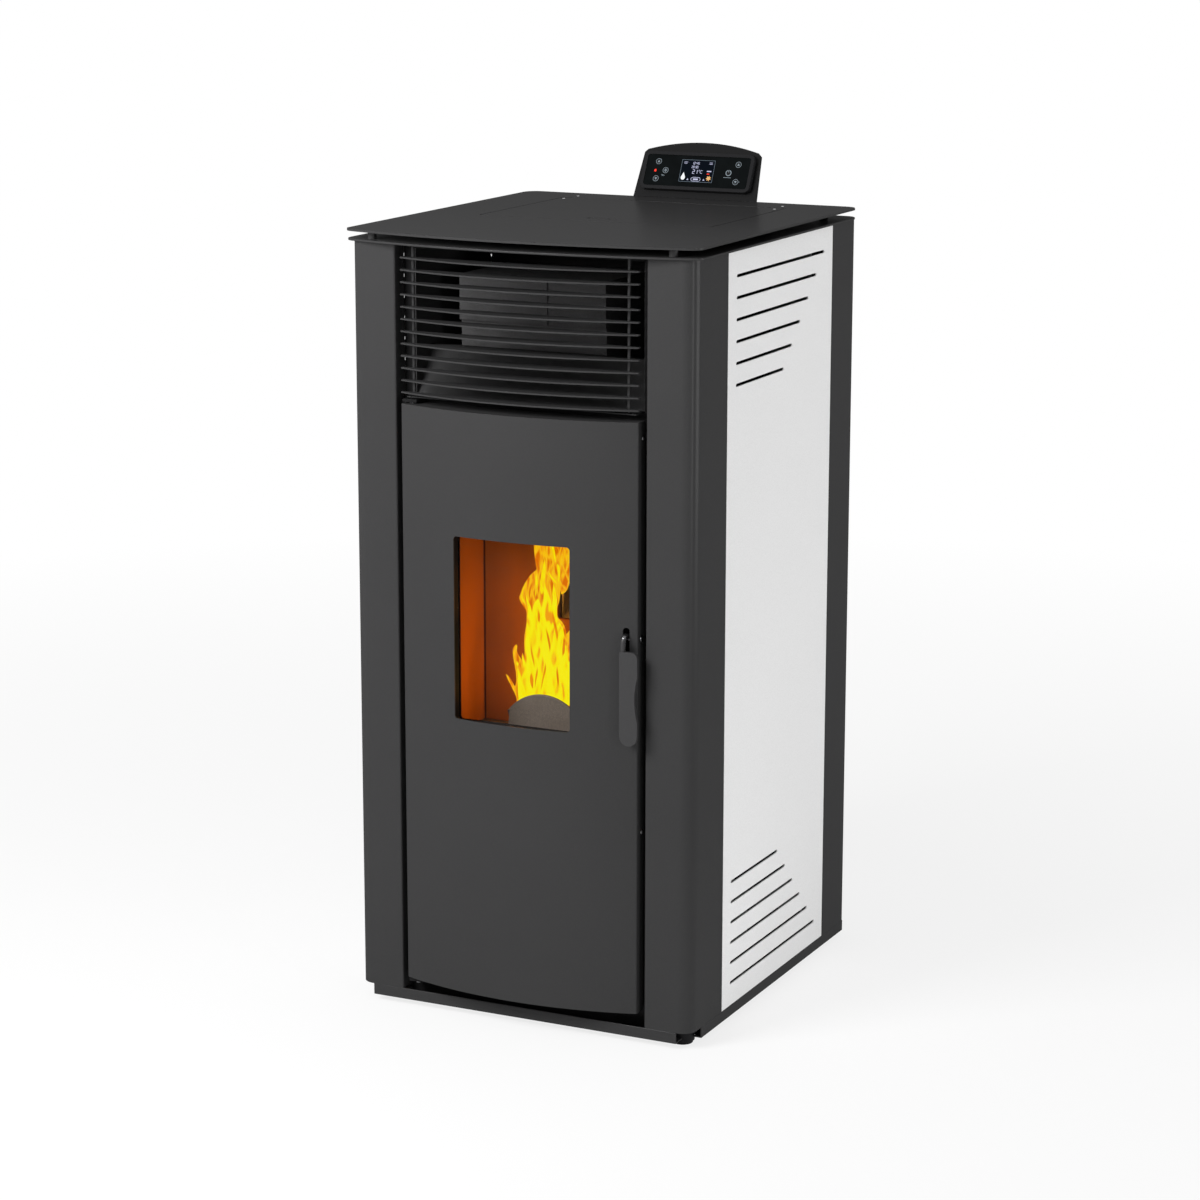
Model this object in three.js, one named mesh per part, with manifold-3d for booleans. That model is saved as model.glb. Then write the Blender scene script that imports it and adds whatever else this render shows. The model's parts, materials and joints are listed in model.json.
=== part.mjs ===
// A free-standing pellet stove. Millimetres, +Z up, front towards -Y, origin under the middle of the
// outline on the floor. Every separate piece of the real stove is a mesh of its own.
import * as THREE from 'three';
import { mergeVertices } from 'three/addons/utils/BufferGeometryUtils.js';
import Module from 'manifold-3d';

const wasm = await Module();
wasm.setup();

// ---------------------------------------------------------------- driving dimensions, millimetres
// case
const caseWidth = 520;          // over the posts
const caseDepth = 577;          // over the posts
const sheet = 2;                // posts, panels, tray and back
const floorClearance = 9;       // floor to underside of the tray
const trayHeight = 16;          // underside of the tray to its rim
const panelHeight = 1066.8;     // tray rim to lower top plate
const postCornerRadius = 20;
const foldRadius = 3;
const frontPostFace = 70.5;
const frontPostSide = 107;
const rearPostFace = 70.5;
const rearPostSide = 98.5;
const postReturn = 26.5;        // inner return of a front post, back to the front frame
const postHem = 15;             // return behind a side panel
const fit = 0.3;                // gap between pieces that seat on each other
const notchWidth = 22;          // notches in the tray's corners, along its front and rear
const frontNotch = 37.5;        // their depth at the front
const rearNotch = 13.5;
const footInset = 28.5;         // foot centre, in from the side
const footInsetY = 37.5;        // foot centre, in from the front or rear
const footRadius = 17;
const glideRadius = 14.5;       // pad under each foot
const glideHeight = 4;
const footStemRadius = 5;
const footStemReach = 22;       // stem above the tray's rim

// side panels
const slotHeight = 4.4;
const slotCount = 6;            // in each group
const slotPitch = 29.7;
const slotStep = 29;            // each slot is this much shorter than the one beyond it
const slotFrontMargin = 27.6;   // panel edge to the slots' front ends
const slotRearMargin = 30.5;    // panel edge to the longest slot's rear end
const slotTopMargin = 35.5;     // panel top to the first slot's centre line
const slotBottomMargin = 33.5;  // panel bottom to the last slot's centre line
const panelHem = 12;

// top plates and hopper lid
const plateThickness = 3;
const plateGap = 10.5;
const plateOverhang = 7.5;
const plateRearInset = 16;      // rear edge, in front of the rear posts' faces
const plateCornerRadius = 20;
const plateBowRadius = 1041;
const lowerPlateReach = 35;     // apex of the bow, in front of the posts
const upperPlateReach = 38;
const spacerRadius = 6;
const spacerInset = 34;         // in from a plate's side and rear
const spacerFrontInset = 42;    // in from the apex of the bow
const lidWidth = 356;
const lidDepth = 268;
const lidFront = 228.5;         // lid's front edge, behind the posts' faces
const lidCornerRadius = 6;
const lidGap = 1.5;
const lidHingeGap = 4;
const lidSlotWidth = 48;
const lidSlotDepth = 9;
const lidSlotInset = 31;
const knuckleRadius = 1.7;
const knuckleLength = 22;
const knuckleOffset = 120;      // lid hinge centres, from the middle

// control panel
const controlOffset = 5.5;      // to the right of the middle
const controlLean = 25.5;       // degrees back from upright
const bracketMargin = 11;       // bracket's lower corners, beyond the housing
const bracketTaper = 5;         // upper corners, in from the lower ones
const bracketShoulder = 75;     // slant height of the corners
const bracketApex = 88;         // slant height of the arch
const bracketThickness = 3;
const bracketCorner = 5;
const bracketTail = 46;         // tab that hangs down behind the plates
const housingWidth = 177;
const housingHeight = 59;
const housingRise = 10;         // slant distance of its lower edge from the plate
const housingProud = 9;
const housingCorner = 9;
const housingRear = 17;         // depth behind the bracket
const housingRearInset = 7;
const bezelRim = 5.5;
const displayCorner = 4;
const displayThickness = 2;
const displayRecess = 0.8;
const keyRadius = 5.4;
const keyHoleGap = 0.4;
const keyTravelRoom = 1.2;
const keyThickness = 2;
const keyInset = 18.5;          // arrow keys' centres, in from the window's ends
const keySpacing = 13.5;        // between neighbouring keys, along and up

// door
const doorGap = 9.5;            // between the door and each front post
const doorBottomGap = 20;       // above the tray's rim
const doorTopGap = 16.6;        // below the lowest slat
const doorBowRadius = 564;
const doorReach = 33;           // apex of the bow, in front of the posts
const doorSkin = 2.5;
const doorDepthBehindFace = 18.5;   // cladding flange, behind the posts' faces
const windowWidth = 177;
const windowBottom = 441.5;
const windowTopDrop = 33;       // below the firebox mouth's top
const windowCorner = 5;
const frameGap = 0.5;           // door frame inside the cladding
const framePlate = 6;
const frameRear = 20.5;         // rear face of the door frame, behind the posts' faces
const collarDepth = 16;         // collar in front of the frame plate
const collarWall = 14;
const collarCorner = 6;
const sightSideMargin = 15.5;   // frame's opening, beyond the window cut-out
const sightLowMargin = 12.5;
const sightTopMargin = 7;
const sightCorner = 4;
const glassThickness = 4;
const glassLap = 8;
const retainerThickness = 2;
const gasketWidth = 8;
const gasketLap = 13;           // gasket's outside, beyond the firebox mouth
const gasketCorner = 12;

// door hinge and handle
const hingeInset = 12;          // pin centre, in from the door's edge
const hingeBehindFace = 6.5;
const hingePinRadius = 4;
const hingeLug = 11;            // half width of the lugs and blocks
const hingeLugFront = 8;        // lugs and blocks, in front of the pin's centre
const hingeBlockInset = 2.5;    // block's left side, in from the lugs'
const hingeBlockHeight = 24;
const hingeBlind = 4;           // solid end of each block's pin hole
const hingePinProud = 3;        // lower pin, below its lug
const hingeLugThickness = 4;
const lugGap = 2.2;             // door to hinge lug
const pivotBehindFace = 5.5;    // handle pin, behind the posts' faces
const pivotZ = 575.5;
const pivotPinRadius = 3;
const pivotHeadRadius = 4.8;
const pivotHeadThickness = 2.2;
const pivotLugWidth = 5;
const hubRadius = 6.2;
const hubLeftReach = 4;         // hub's ends, from the handle rod's centre
const hubRightReach = 11.8;
const handleInset = 15.2;       // handle rod's centre, in from the door's edge
const rodRadius = 3.5;
const rodSink = 0.5;            // rod's centre line, in front of the grip's back
const rodBends = [              // share of the way forward, height above the pivot
  [0.04, 0.5], [0.57, 6.5], [0.89, 3.5], [1, -7], [1, -27.5],
];
const handleSlotWidth = 9;
const handleSlotRise = 17;      // slot's top above the pivot
const handleSlotDrop = 23.5;
const gripSetback = 3.8;        // grip's left edge, from the rod's centre
const gripWidth = 26.6;
const gripDrop = 13.5;          // grip's top below the pivot
const gripLength = 130.5;
const gripThickness = 5;
const gripProud = 22.5;         // front of the grip, in front of the posts' faces
const gripRelief = 4;           // depth of the finger relief
const gripReliefMargin = 35;    // relief's ends, from the grip's ends
const gripCorner = 8;
const tongueWidth = 6;
const tongueOffset = 4.7;       // tongue's left face, from the rod's centre
const tongueHeight = 11;
const tongueRoot = 2;           // tongue's front end, behind the pivot
const tongueReach = 42;
const keeperRadius = 4;
const latchSlotWidth = 13;
const latchSlotDrop = 34.5;     // slot below and above the pivot
const latchSlotRise = 9.5;

// grille
const slatCount = 12;
const slatThickness = 2;
const slatPitch = 16.83;
const topSlatDrop = 17.8;       // lower top plate to the first slat's upper face
const slatEndDepth = 5.4;       // slats, front to rear at their ends
const slatReach = 33;
const grilleRodInset = 17.5;    // from the door's edge
const grilleRodTail = 3;        // rod below the lowest slat
const grilleRodRadius = 2.25;
const grilleFoot = 14;
const shelfFront = 2.5;         // front edge of the shelf, behind the posts' faces
const shelfRise = 8;            // shelf above the door's top
const shelfFlat = 4;            // flat part, behind the front frame
const deflectorRise = 64.7;
const deflectorTopBehind = 73;
const deflectorLip = 9;
const grilleMouthInset = 14.5;  // mouth's sides, in from the front posts
const grilleMouthDrop = 8.8;    // mouth's top, below the lower top plate

// front frame and firebox
const frameSheet = 2.5;
const mouthInset = 35;          // mouth's sides, in from the door's edges
const mouthDrop = 71;           // mouth's top, below the firebox top
const fireboxWall = 4;
const linerThickness = 7.7;
const chamberDepth = 144;       // front frame's face to the back lining
const fireboxBottom = 322;
const fireboxTopDrop = 69.3;    // below the door's top
const ashSpace = 66;            // firebox bottom to the chamber's floor
const linerDrop = 98;           // top of the linings, below the firebox top
const baffleThickness = 6;
const baffleSlope = 24;
const baffleFrontGap = 45;      // behind the front frame
const baffleSeat = 12;          // flat part that rests on the back lining
const potRearGap = 13;          // pot to the back lining
const potDepth = 90;
const potWidth = 110;
const potWall = 5;
const potRise = 48;             // rim above the chamber's floor
const potDrop = 28;             // bottom below it
const potTaper = 10;
const potFlange = 8;
const potFlangeThickness = 3;
const potHoleRadius = 3;
const potHoleColumns = 2;       // on each side of the middle one
const potHoleRows = 1;
const potHoleSpacing = 15;
const potHoleRowSpacing = 20;
const shieldGap = 2;            // arched shield to the pot's front
const shieldThickness = 5;
const shieldHalf = 58;
const shieldArchRadius = 68;
const shieldShoulder = 6;       // arch ends, in from the shield's sides
const shieldRise = 77;          // top above the chamber's floor
const shieldOffset = 4;
const ashPanInset = 25;         // in from the mouth's sides
const ashPanFrontGap = 4;
const ashPanRearGap = 3;
const ashPanHeight = 28;
const ashPanWall = 1.5;
const ashPullHalf = 25;
const ashPullDepth = 3.5;
const ashPullHeight = 8;
const igniterRadius = 6;
const igniterRise = 11;         // above the pot's bottom
const igniterReach = 45;        // behind the firebox
const igniterTip = 6;           // into the pot's rear wall

// heat exchanger and smoke path
const exchangerInset = 11;      // left side, in from the mouth's side
const exchangerSeam = 1.4;
const exchangerPort = 20;       // firebox port, in from the exchanger's ends
const exchangerPortDepth = 60;
const exchangerPortGap = 10;    // port to the back lining
const exchangerGap = 6;         // exchanger to the hopper's flange
const exchangerFrontBehind = 88.5;  // front face, behind the posts' faces
const exchangerTopDrop = 47.8;  // below the lower top plate
const exchangerWall = 3;
const coverHeight = 61;
const coverDrop = 3;            // below the exchanger's top
const coverLeftProud = 6;
const coverRightProud = 3;
const ductGap = 8;              // to the auger tube's flange
const ductDepth = 44;
const ductWall = 2;
const ductMargin = 12;          // round the fan's inlet

// exhaust fan and flue
const fanRadius = 75;
const fanWidth = 84;
const fanY = 96;
const fanZ = 150;
const fanWall = 3;
const fanInletRadius = 34;
const fanFootInset = 10;
const fanFootHalf = 40;
const fanFootLap = 12;
const impellerRadius = 62;
const impellerWidth = 34;
const impellerPlate = 3;
const impellerGap = 6;          // to the housing's rear wall
const impellerHub = 24;
const bladeThickness = 2;
const bladeCount = 12;
const shaftRadius = 4;
const shaftLap = 12;            // shaft inside the motor
const flueRadius = 40;
const flueInset = 58.9;         // stub's axis, in from the back panel's edge
const flueReach = 38;           // flue stub, behind the rear posts' faces
const motorRadius = 36;
const motorLength = 46;
const motorBossRadius = 16;
const motorBossLength = 5;

// combustion-air intake
const intakeRadius = 25;
const intakeInset = 89.2;       // pipe's axis, in from the back panel's edge
const intakeRise = 30;          // above the firebox bottom
const intakeReach = 12;         // behind the rear posts' faces
const pipeWall = 2;
const pipeGap = 1;              // round the pipes in the back panel

// hopper and auger
const hopperLidInset = 14;      // hopper neck, inside the lid's outline
const hopperWall = 2;
const hopperTaperHeight = 205;
const outletRise = 135;         // hopper outlet above the auger's lower end
const outletHalf = 32;
const outletOffset = 4;         // outlet's middle, behind the hopper's
const hopperFlange = 10;
const flangeThickness = 3;
const augerTilt = 25;           // degrees above level, rising to the front
const augerTubeRadius = 31;
const augerTubeWall = 2.5;
const augerEndWall = 3;
const augerRear = 106.5;        // auger's lower end, in front of the rear posts' faces
const augerFrontGap = 45;       // its upper end, behind the firebox
const augerDrop = 185;          // auger's lower end, below the linings' top
const augerShaft = 8;
const shaftTail = 22;           // shaft below the tube, in the gearbox
const flightRadius = 26;
const flightRoot = 2;           // flight's lap on the shaft
const flightStart = 8;
const flightThickness = 3;
const flightTurns = 5;
const flightSteps = 8;          // in each turn
const neckInset = 5;            // feed neck, in from the outlet's sides
const neckEndInset = 8;         // and from its front and rear
const neckWall = 2;
const chuteHalf = 27;
const chuteDrop = 157;          // chute's floor, below the linings' top
const chuteHeight = 52;
const chuteWall = 2;
const chuteInset = 3;
const chuteEndInset = 34;       // chute's top, back from the tube's end
const chuteReach = 12;          // chute's top, behind and in front of that point
const chuteFrontReach = 16;
const chuteTopDrop = 14;
const chuteTopRise = 6;
const gearboxHalf = 36;
const gearboxDrop = 30;
const gearboxRise = 46;
const gearboxDepth = 30;
const gearmotorOffset = 24;
const gearmotorRadius = 26;
const gearmotorLength = 58;

// room-air blower
const blowerInset = 64;         // drum housing's left end, in from the case's side
const blowerLength = 200;
const blowerRadius = 50;
const blowerY = 150;
const blowerWall = 2;
const blowerThroat = 78;        // outlet edge, in front of the drum's axis
const blowerRoofRise = 30;      // outlet's roof above the axis
const blowerInletLow = -20;     // degrees: the rear gap that lets air in
const blowerInletHigh = 40;
const blowerRoofAngle = 120;    // degrees: where the roof leaves the scroll
const drumRadius = 36;
const drumEndGap = 3;
const drumRing = 3;
const drumBladeDepth = 8;
const drumBladeThickness = 1.2;
const drumBlades = 12;
const drumShaftLeft = 4;        // shaft beyond the housing's cheeks
const drumShaftRight = 10;

// electrics on the back
const inletInset = 39.2;        // inlet's middle, in from the back panel's edge
const inletZ = 100;
const inletWidth = 30;
const inletHeight = 62;
const inletBodyDepth = 28;
const inletFlange = 1;
const socketHalf = 12;
const socketMargin = 8;         // above the inlet's lower edge
const socketHeight = 18;
const socketDepth = 17;
const pinHalf = 1;
const pinHeight = 5;
const pinLength = 15;
const pinSetback = 3;
const pinSpread = 7;
const pinRow = 15;              // outer pins above the inlet's lower edge
const earthRow = 20;
const rockerWidth = 19;
const rockerHeight = 13;
const rockerRise = 20;          // above the inlet's middle
const rockerWell = 12;
const rockerPivotDepth = 5;
const rockerProud = 2.2;
const rockerThrow = 16;         // degrees, from one stop to the other
const boardWidth = 120;
const boardHeight = 140;
const boardInset = 69.2;        // board's middle, in from the back panel's edge
const boardZ = 560;
const boardThickness = 2;
const boardStandoff = 12;
const standRadius = 3;
const standInset = 8;
const transformerSize = 32;
const transformerHeight = 25;
const relaySize = 30;
const relayHeight = 17;
const terminalWidth = 20;
const terminalLength = 40;
const terminalHeight = 13;
const ventSlotCount = 5;
const ventSlotPitch = 14;
const ventSlotLength = 120;
const ventSlotHeight = 5;

// ---------------------------------------------------------------- shared planes
const halfWidth = caseWidth / 2;
const frontFace = -caseDepth / 2;
const rearFace = caseDepth / 2;
const rimZ = floorClearance + trayHeight;
const trayFloor = floorClearance + sheet;
const caseTop = rimZ + panelHeight;
const lowerPlateTop = caseTop + plateThickness;
const upperPlateBottom = lowerPlateTop + plateGap;
const topFace = upperPlateBottom + plateThickness;
const plateRear = rearFace - plateRearInset;
const postInner = halfWidth - frontPostFace;
const panelFront = frontFace + frontPostSide + fit;
const panelRear = rearFace - rearPostSide - fit;
const backHalf = halfWidth - rearPostFace - fit;
const backPanelFront = rearFace - 2 * sheet;

const lowestSlatZ = caseTop - topSlatDrop - (slatCount - 1) * slatPitch;
const doorHalfWidth = postInner - doorGap;
const doorBottom = rimZ + doorBottomGap;
const doorTop = lowestSlatZ - doorTopGap;
const doorFlangeRear = frontFace + doorDepthBehindFace;
const doorFrameRear = frontFace + frameRear;
const doorFrameFront = doorFrameRear - framePlate;
const collarFront = doorFrameFront - collarDepth;
const hingeX = hingeInset - doorHalfWidth;
const hingeY = frontFace + hingeBehindFace;
const shelfZ = doorTop + shelfRise;
const grilleMouthHalf = postInner - grilleMouthInset;
const grilleRodX = doorHalfWidth - grilleRodInset;
const doorBow = doorBowRadius - Math.sqrt(doorBowRadius ** 2 - doorHalfWidth ** 2);
const slatRear = frontFace - slatReach + doorBow + slatEndDepth;

const handleRodX = doorHalfWidth - handleInset;
const hubLeft = handleRodX - hubLeftReach;
const hubRight = handleRodX + hubRightReach;
const pivotY = frontFace + pivotBehindFace;
const tongueX = handleRodX + tongueOffset;
const latchSlotLeft = tongueX + (tongueWidth - latchSlotWidth) / 2;
const latchSlotRight = latchSlotLeft + latchSlotWidth;
const latchSlotBottom = pivotZ - latchSlotDrop;
const latchSlotTop = pivotZ + latchSlotRise;

const bulkheadFront = frontFace + postReturn;
const bulkheadRear = bulkheadFront + frameSheet;
const linerFace = bulkheadFront + chamberDepth;
const fireboxBack = linerFace + linerThickness + fit;
const fireboxOuterBack = fireboxBack + fireboxWall;
const fireboxTop = doorTop - fireboxTopDrop;
const mouthHalf = doorHalfWidth - mouthInset;
const mouthBottom = fireboxBottom + fireboxWall;
const mouthTop = fireboxTop - mouthDrop;
const fireboxHalf = mouthHalf + linerThickness + fit;
const chamberFloor = fireboxBottom + ashSpace;
const linerTop = fireboxTop - linerDrop;
const potRear = linerFace - potRearGap;
const potFront = potRear - potDepth;
const potTop = chamberFloor + potRise;
const potBottom = chamberFloor - potDrop;
const igniterZ = potBottom + igniterRise;
const intakeZ = fireboxBottom + intakeRise;
const windowTop = mouthTop - windowTopDrop;
const sightHalfWidth = windowWidth / 2 + sightSideMargin;
const sightBottom = windowBottom - sightLowMargin;
const sightTop = windowTop + sightTopMargin;

const lidFrontY = frontFace + lidFront;
const lidRearY = lidFrontY + lidDepth;
const hopperHalf = lidWidth / 2 - hopperLidInset;
const hopperFront = lidFrontY + hopperLidInset;
const hopperRear = lidRearY - hopperLidInset;
const outletY = (hopperFront + hopperRear) / 2 + outletOffset;
const augerStartY = rearFace - augerRear;
const augerStartZ = linerTop - augerDrop;
const augerEndY = fireboxOuterBack + augerFrontGap;
const augerLength = (augerStartY - augerEndY) / Math.cos(THREE.MathUtils.degToRad(augerTilt));
const flightPitch = (augerLength - flightStart - flightThickness - 4 * augerEndWall) / flightTurns;
const hopperOutletZ = augerStartZ + outletRise;
const hopperTaperTop = hopperOutletZ + hopperTaperHeight;
const chuteBottom = linerTop - chuteDrop;

const exchangerLeft = exchangerInset - mouthHalf;
const exchangerTop = caseTop - exchangerTopDrop;
const exchangerFront = frontFace + exchangerFrontBehind;
const flueX = backHalf - flueInset;
const fanLeft = flueX - fanWidth / 2;
const fanRight = flueX + fanWidth / 2;
const ductLeft = outletHalf + ductGap;
const ductRight = fanLeft - fit;
const ductFront = fireboxOuterBack + fit;
const ductBack = ductFront + ductDepth;
const exchangerRight = ductRight + 1;
const flueZ = fanZ + fanRadius - flueRadius;
const inletX = inletInset - backHalf;
const intakeX = intakeInset - backHalf;
const blowerLeft = blowerInset - halfWidth;
const boardX = boardInset - backHalf;
const ring = 20;                // sides of a large round
const keySides = 12;
const smallRing = 14;           // sides of a small round

// ---------------------------------------------------------------- shape helpers
const rad = THREE.MathUtils.degToRad;
const v2 = (x, y) => new THREE.Vector2(x, y);

// points along an arc, both ends included
function arc(cx, cy, r, from, to, steps) {
  const points = [];
  for (let i = 0; i <= steps; i += 1) {
    const a = from + (to - from) * i / steps;
    points.push(v2(cx + r * Math.cos(a), cy + r * Math.sin(a)));
  }
  return points;
}

function roundedRect(x0, x1, y0, y1, r, steps = 4) {
  const q = Math.PI / 2;
  return [
    ...arc(x1 - r, y0 + r, r, -q, 0, steps), ...arc(x1 - r, y1 - r, r, 0, q, steps),
    ...arc(x0 + r, y1 - r, r, q, 2 * q, steps), ...arc(x0 + r, y0 + r, r, 2 * q, 3 * q, steps),
  ];
}

// slot with round ends, lying along the first axis
function stadium(x0, x1, y, r, steps = 2) {
  const q = Math.PI / 2;
  return [...arc(x1 - r, y, r, -q, q, steps), ...arc(x0 + r, y, r, q, 3 * q, steps)];
}

const rectangle = (x0, x1, y0, y1) => [v2(x0, y0), v2(x1, y0), v2(x1, y1), v2(x0, y1)];
const circle = (cx, cy, r, steps = smallRing) => arc(cx, cy, r, 0, 2 * Math.PI, steps).slice(0, -1);

// outline with straight sides and rear and a bowed front that meets the sides in small fillets
function bowedOutline({ half, apex, bow, rear, frontFillet, rearFillet, bowSteps, filletSteps = 4 }) {
  const cy = apex + bow;
  const fx = half - frontFillet;
  const fy = cy - Math.sqrt((bow - frontFillet) ** 2 - fx ** 2);
  const right = Math.atan2(fy - cy, fx);
  const left = -Math.PI - right;
  const q = Math.PI / 2;
  const rearRight = rearFillet > 0
    ? arc(half - rearFillet, rear - rearFillet, rearFillet, 0, q, 5) : [v2(half, rear)];
  const rearLeft = rearFillet > 0
    ? arc(-half + rearFillet, rear - rearFillet, rearFillet, q, 2 * q, 5) : [v2(-half, rear)];
  return [
    ...rearRight, ...rearLeft,
    ...arc(-fx, fy, frontFillet, -Math.PI, left, filletSteps),
    ...arc(0, cy, bow, left, right, bowSteps).slice(1, -1),
    ...arc(fx, fy, frontFillet, right, 0, filletSteps),
  ];
}

// drops repeated points and sets the turning direction
function loop(points, clockwise) {
  const kept = points.filter((p, i) => p.distanceTo(points[(i + points.length - 1) % points.length]) > 1e-4);
  return THREE.ShapeUtils.isClockWise(kept) === clockwise ? kept : kept.reverse();
}

function extrude(outline, holes, depth) {
  const shape = new THREE.Shape(loop(outline, false));
  shape.holes = holes.map((hole) => new THREE.Path(loop(hole, true)));
  return new THREE.ExtrudeGeometry(shape, { depth, bevelEnabled: false, steps: 1 });
}

// outline in X and Y, raised from z0 to z1
function prismZ(outline, z0, z1, holes = []) {
  return extrude(outline, holes, z1 - z0).translate(0, 0, z0);
}

// outline in Y and Z, from x0 to x1
function prismX(outline, x0, x1, holes = []) {
  const turn = new THREE.Matrix4().makeBasis(
    new THREE.Vector3(0, 1, 0), new THREE.Vector3(0, 0, 1), new THREE.Vector3(1, 0, 0));
  return extrude(outline, holes, x1 - x0).applyMatrix4(turn).translate(x0, 0, 0);
}

// outline in X and Z, from y0 to y1
function prismY(outline, y0, y1, holes = []) {
  const turn = new THREE.Matrix4().makeBasis(
    new THREE.Vector3(1, 0, 0), new THREE.Vector3(0, 0, 1), new THREE.Vector3(0, -1, 0));
  return extrude(outline, holes, y1 - y0).applyMatrix4(turn).translate(0, y1, 0);
}

// block between exact corners, so that flush faces share one plane
const box = (x0, x1, y0, y1, z0, z1) => taperedBlock([x0, x1, y0, y1], z0, [x0, x1, y0, y1], z1);
const barZ = (x, y, r, z0, z1, steps = smallRing) => prismZ(circle(x, y, r, steps), z0, z1);
const barX = (y, z, r, x0, x1, steps = smallRing) => prismX(circle(y, z, r, steps), x0, x1);
const barY = (x, z, r, y0, y1, steps = smallRing) => prismY(circle(x, z, r, steps), y0, y1);

// closed solid between two rectangles at different heights
function taperedBlock(low, z0, high, z1) {
  const corners = ([x0, x1, y0, y1], z) => [[x0, y0, z], [x1, y0, z], [x1, y1, z], [x0, y1, z]];
  const points = [...corners(low, z0), ...corners(high, z1)].flat();
  const faces = [0, 2, 1, 0, 3, 2, 4, 5, 6, 4, 6, 7];
  for (let i = 0; i < 4; i += 1) {
    const j = (i + 1) % 4;
    faces.push(i, j, j + 4, i, j + 4, i + 4);
  }
  const geometry = new THREE.BufferGeometry();
  geometry.setAttribute('position', new THREE.Float32BufferAttribute(points, 3));
  geometry.setIndex(faces);
  return geometry;
}

function toSolid(geometry) {
  const bare = geometry.clone();
  bare.deleteAttribute('normal');
  bare.deleteAttribute('uv');
  const welded = mergeVertices(bare, 1e-4);
  return new wasm.Manifold(new wasm.Mesh({
    numProp: 3,
    vertProperties: new Float32Array(welded.attributes.position.array),
    triVerts: new Uint32Array(welded.index.array),
  }));
}

function toGeometry(solid) {
  const mesh = solid.getMesh();
  const geometry = new THREE.BufferGeometry();
  geometry.setAttribute('position', new THREE.BufferAttribute(new Float32Array(mesh.vertProperties), 3));
  geometry.setIndex(new THREE.BufferAttribute(new Uint32Array(mesh.triVerts), 1));
  return geometry;
}

const union = (geometries) => geometries.map(toSolid).reduce((a, b) => a.add(b));
const join = (...geometries) => toGeometry(union(geometries));
const cut = (base, ...tools) => toGeometry(toSolid(base).subtract(union(tools)));

// ---------------------------------------------------------------- materials
const paint = (color, roughness = 0.55, metalness = 0.35) => (
  new THREE.MeshStandardMaterial({ color, roughness, metalness }));
const charcoal = () => paint(0x46464a);
const white = () => paint(0xe0e0e2, 0.45, 0.1);
const steel = () => paint(0x9a9c9f, 0.35, 0.9);
const zinc = () => paint(0x8d9094, 0.5, 0.8);
const castIron = () => paint(0x55504b, 0.8, 0.4);
const black = () => paint(0x17181a, 0.6, 0.1);
const glassy = () => new THREE.MeshStandardMaterial({ color: 0x332a22, roughness: 0.05, metalness: 0 });
const lining = () => paint(0x8a6a4a, 0.9, 0.0);

const stove = new THREE.Group();

function add(name, geometry, material, parent = stove) {
  const faceted = geometry.index ? geometry.toNonIndexed() : geometry;
  faceted.computeVertexNormals();
  const mesh = new THREE.Mesh(faceted, material);
  mesh.name = name;
  parent.add(mesh);
  return mesh;
}

const sides = [['left', -1], ['right', 1]];
const ends = [['front', -1], ['rear', 1]];
const footPlaces = ends.flatMap(([end, sy]) => sides.map(([side, sx]) => (
  [`${end}_${side}`, sx * (halfWidth - footInset), sy * (rearFace - footInsetY)])));

// ---------------------------------------------------------------- case
function addBase() {
  const outline = (inset) => {
    const half = halfWidth - inset;
    const neck = half - notchWidth;
    const [y0, y3] = [frontFace + inset, rearFace - inset];
    const [y1, y2] = [y0 + frontNotch, y3 - rearNotch];
    return [
      v2(-neck, y0), v2(neck, y0), v2(neck, y1), v2(half, y1), v2(half, y2), v2(neck, y2),
      v2(neck, y3), v2(-neck, y3), v2(-neck, y2), v2(-half, y2), v2(-half, y1), v2(-neck, y1),
    ];
  };
  const footHoles = footPlaces.map(([, x, y]) => (
    barZ(x, y, footRadius + fit, floorClearance - 1, rimZ + 1, ring)));
  // the flanges stop at the notches, which have no walls of their own
  const reliefs = sides.flatMap(([, sx]) => {
    const middle = sx * (halfWidth - sheet - notchWidth / 2);
    const [x0, x1] = [middle - notchWidth / 2, middle + notchWidth / 2];
    return [
      box(x0, x1, frontFace + sheet, frontFace + frontNotch + sheet, trayFloor, rimZ + 1),
      box(x0, x1, rearFace - rearNotch - sheet, rearFace - sheet, trayFloor, rimZ + 1)];
  });
  const tray = cut(
    prismZ(outline(0), floorClearance, rimZ),
    prismZ(outline(sheet), trayFloor, rimZ + 1), ...reliefs, ...footHoles);
  add('base_tray', tray, charcoal());

  for (const [name, x, y] of footPlaces) {
    const foot = join(
      barZ(x, y, glideRadius, 0, glideHeight, ring),
      barZ(x, y, footRadius, glideHeight, rimZ - fit, ring),
      barZ(x, y, footStemRadius, glideHeight, rimZ + footStemReach));
    add(`foot_${name}`, foot, black());
  }
}

// folded post: outer skin, rounded corner, return beside the door or back, return behind the panel,
// and a floor web that carries the foot
function postOutline(face, side, innerReturn) {
  const outer = (o, r) => [
    v2(halfWidth - face + o, frontFace + innerReturn),
    v2(halfWidth - face + o, frontFace + foldRadius),
    ...arc(halfWidth - face + foldRadius, frontFace + foldRadius, foldRadius - o, Math.PI, 1.5 * Math.PI, 3),
    ...arc(halfWidth - postCornerRadius, frontFace + postCornerRadius, r, -Math.PI / 2, 0, 8),
    v2(halfWidth - o, frontFace + side - o),
    v2(halfWidth - postHem, frontFace + side - o),
  ];
  return [...outer(0, postCornerRadius), ...outer(sheet, postCornerRadius - sheet).reverse()];
}

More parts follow.
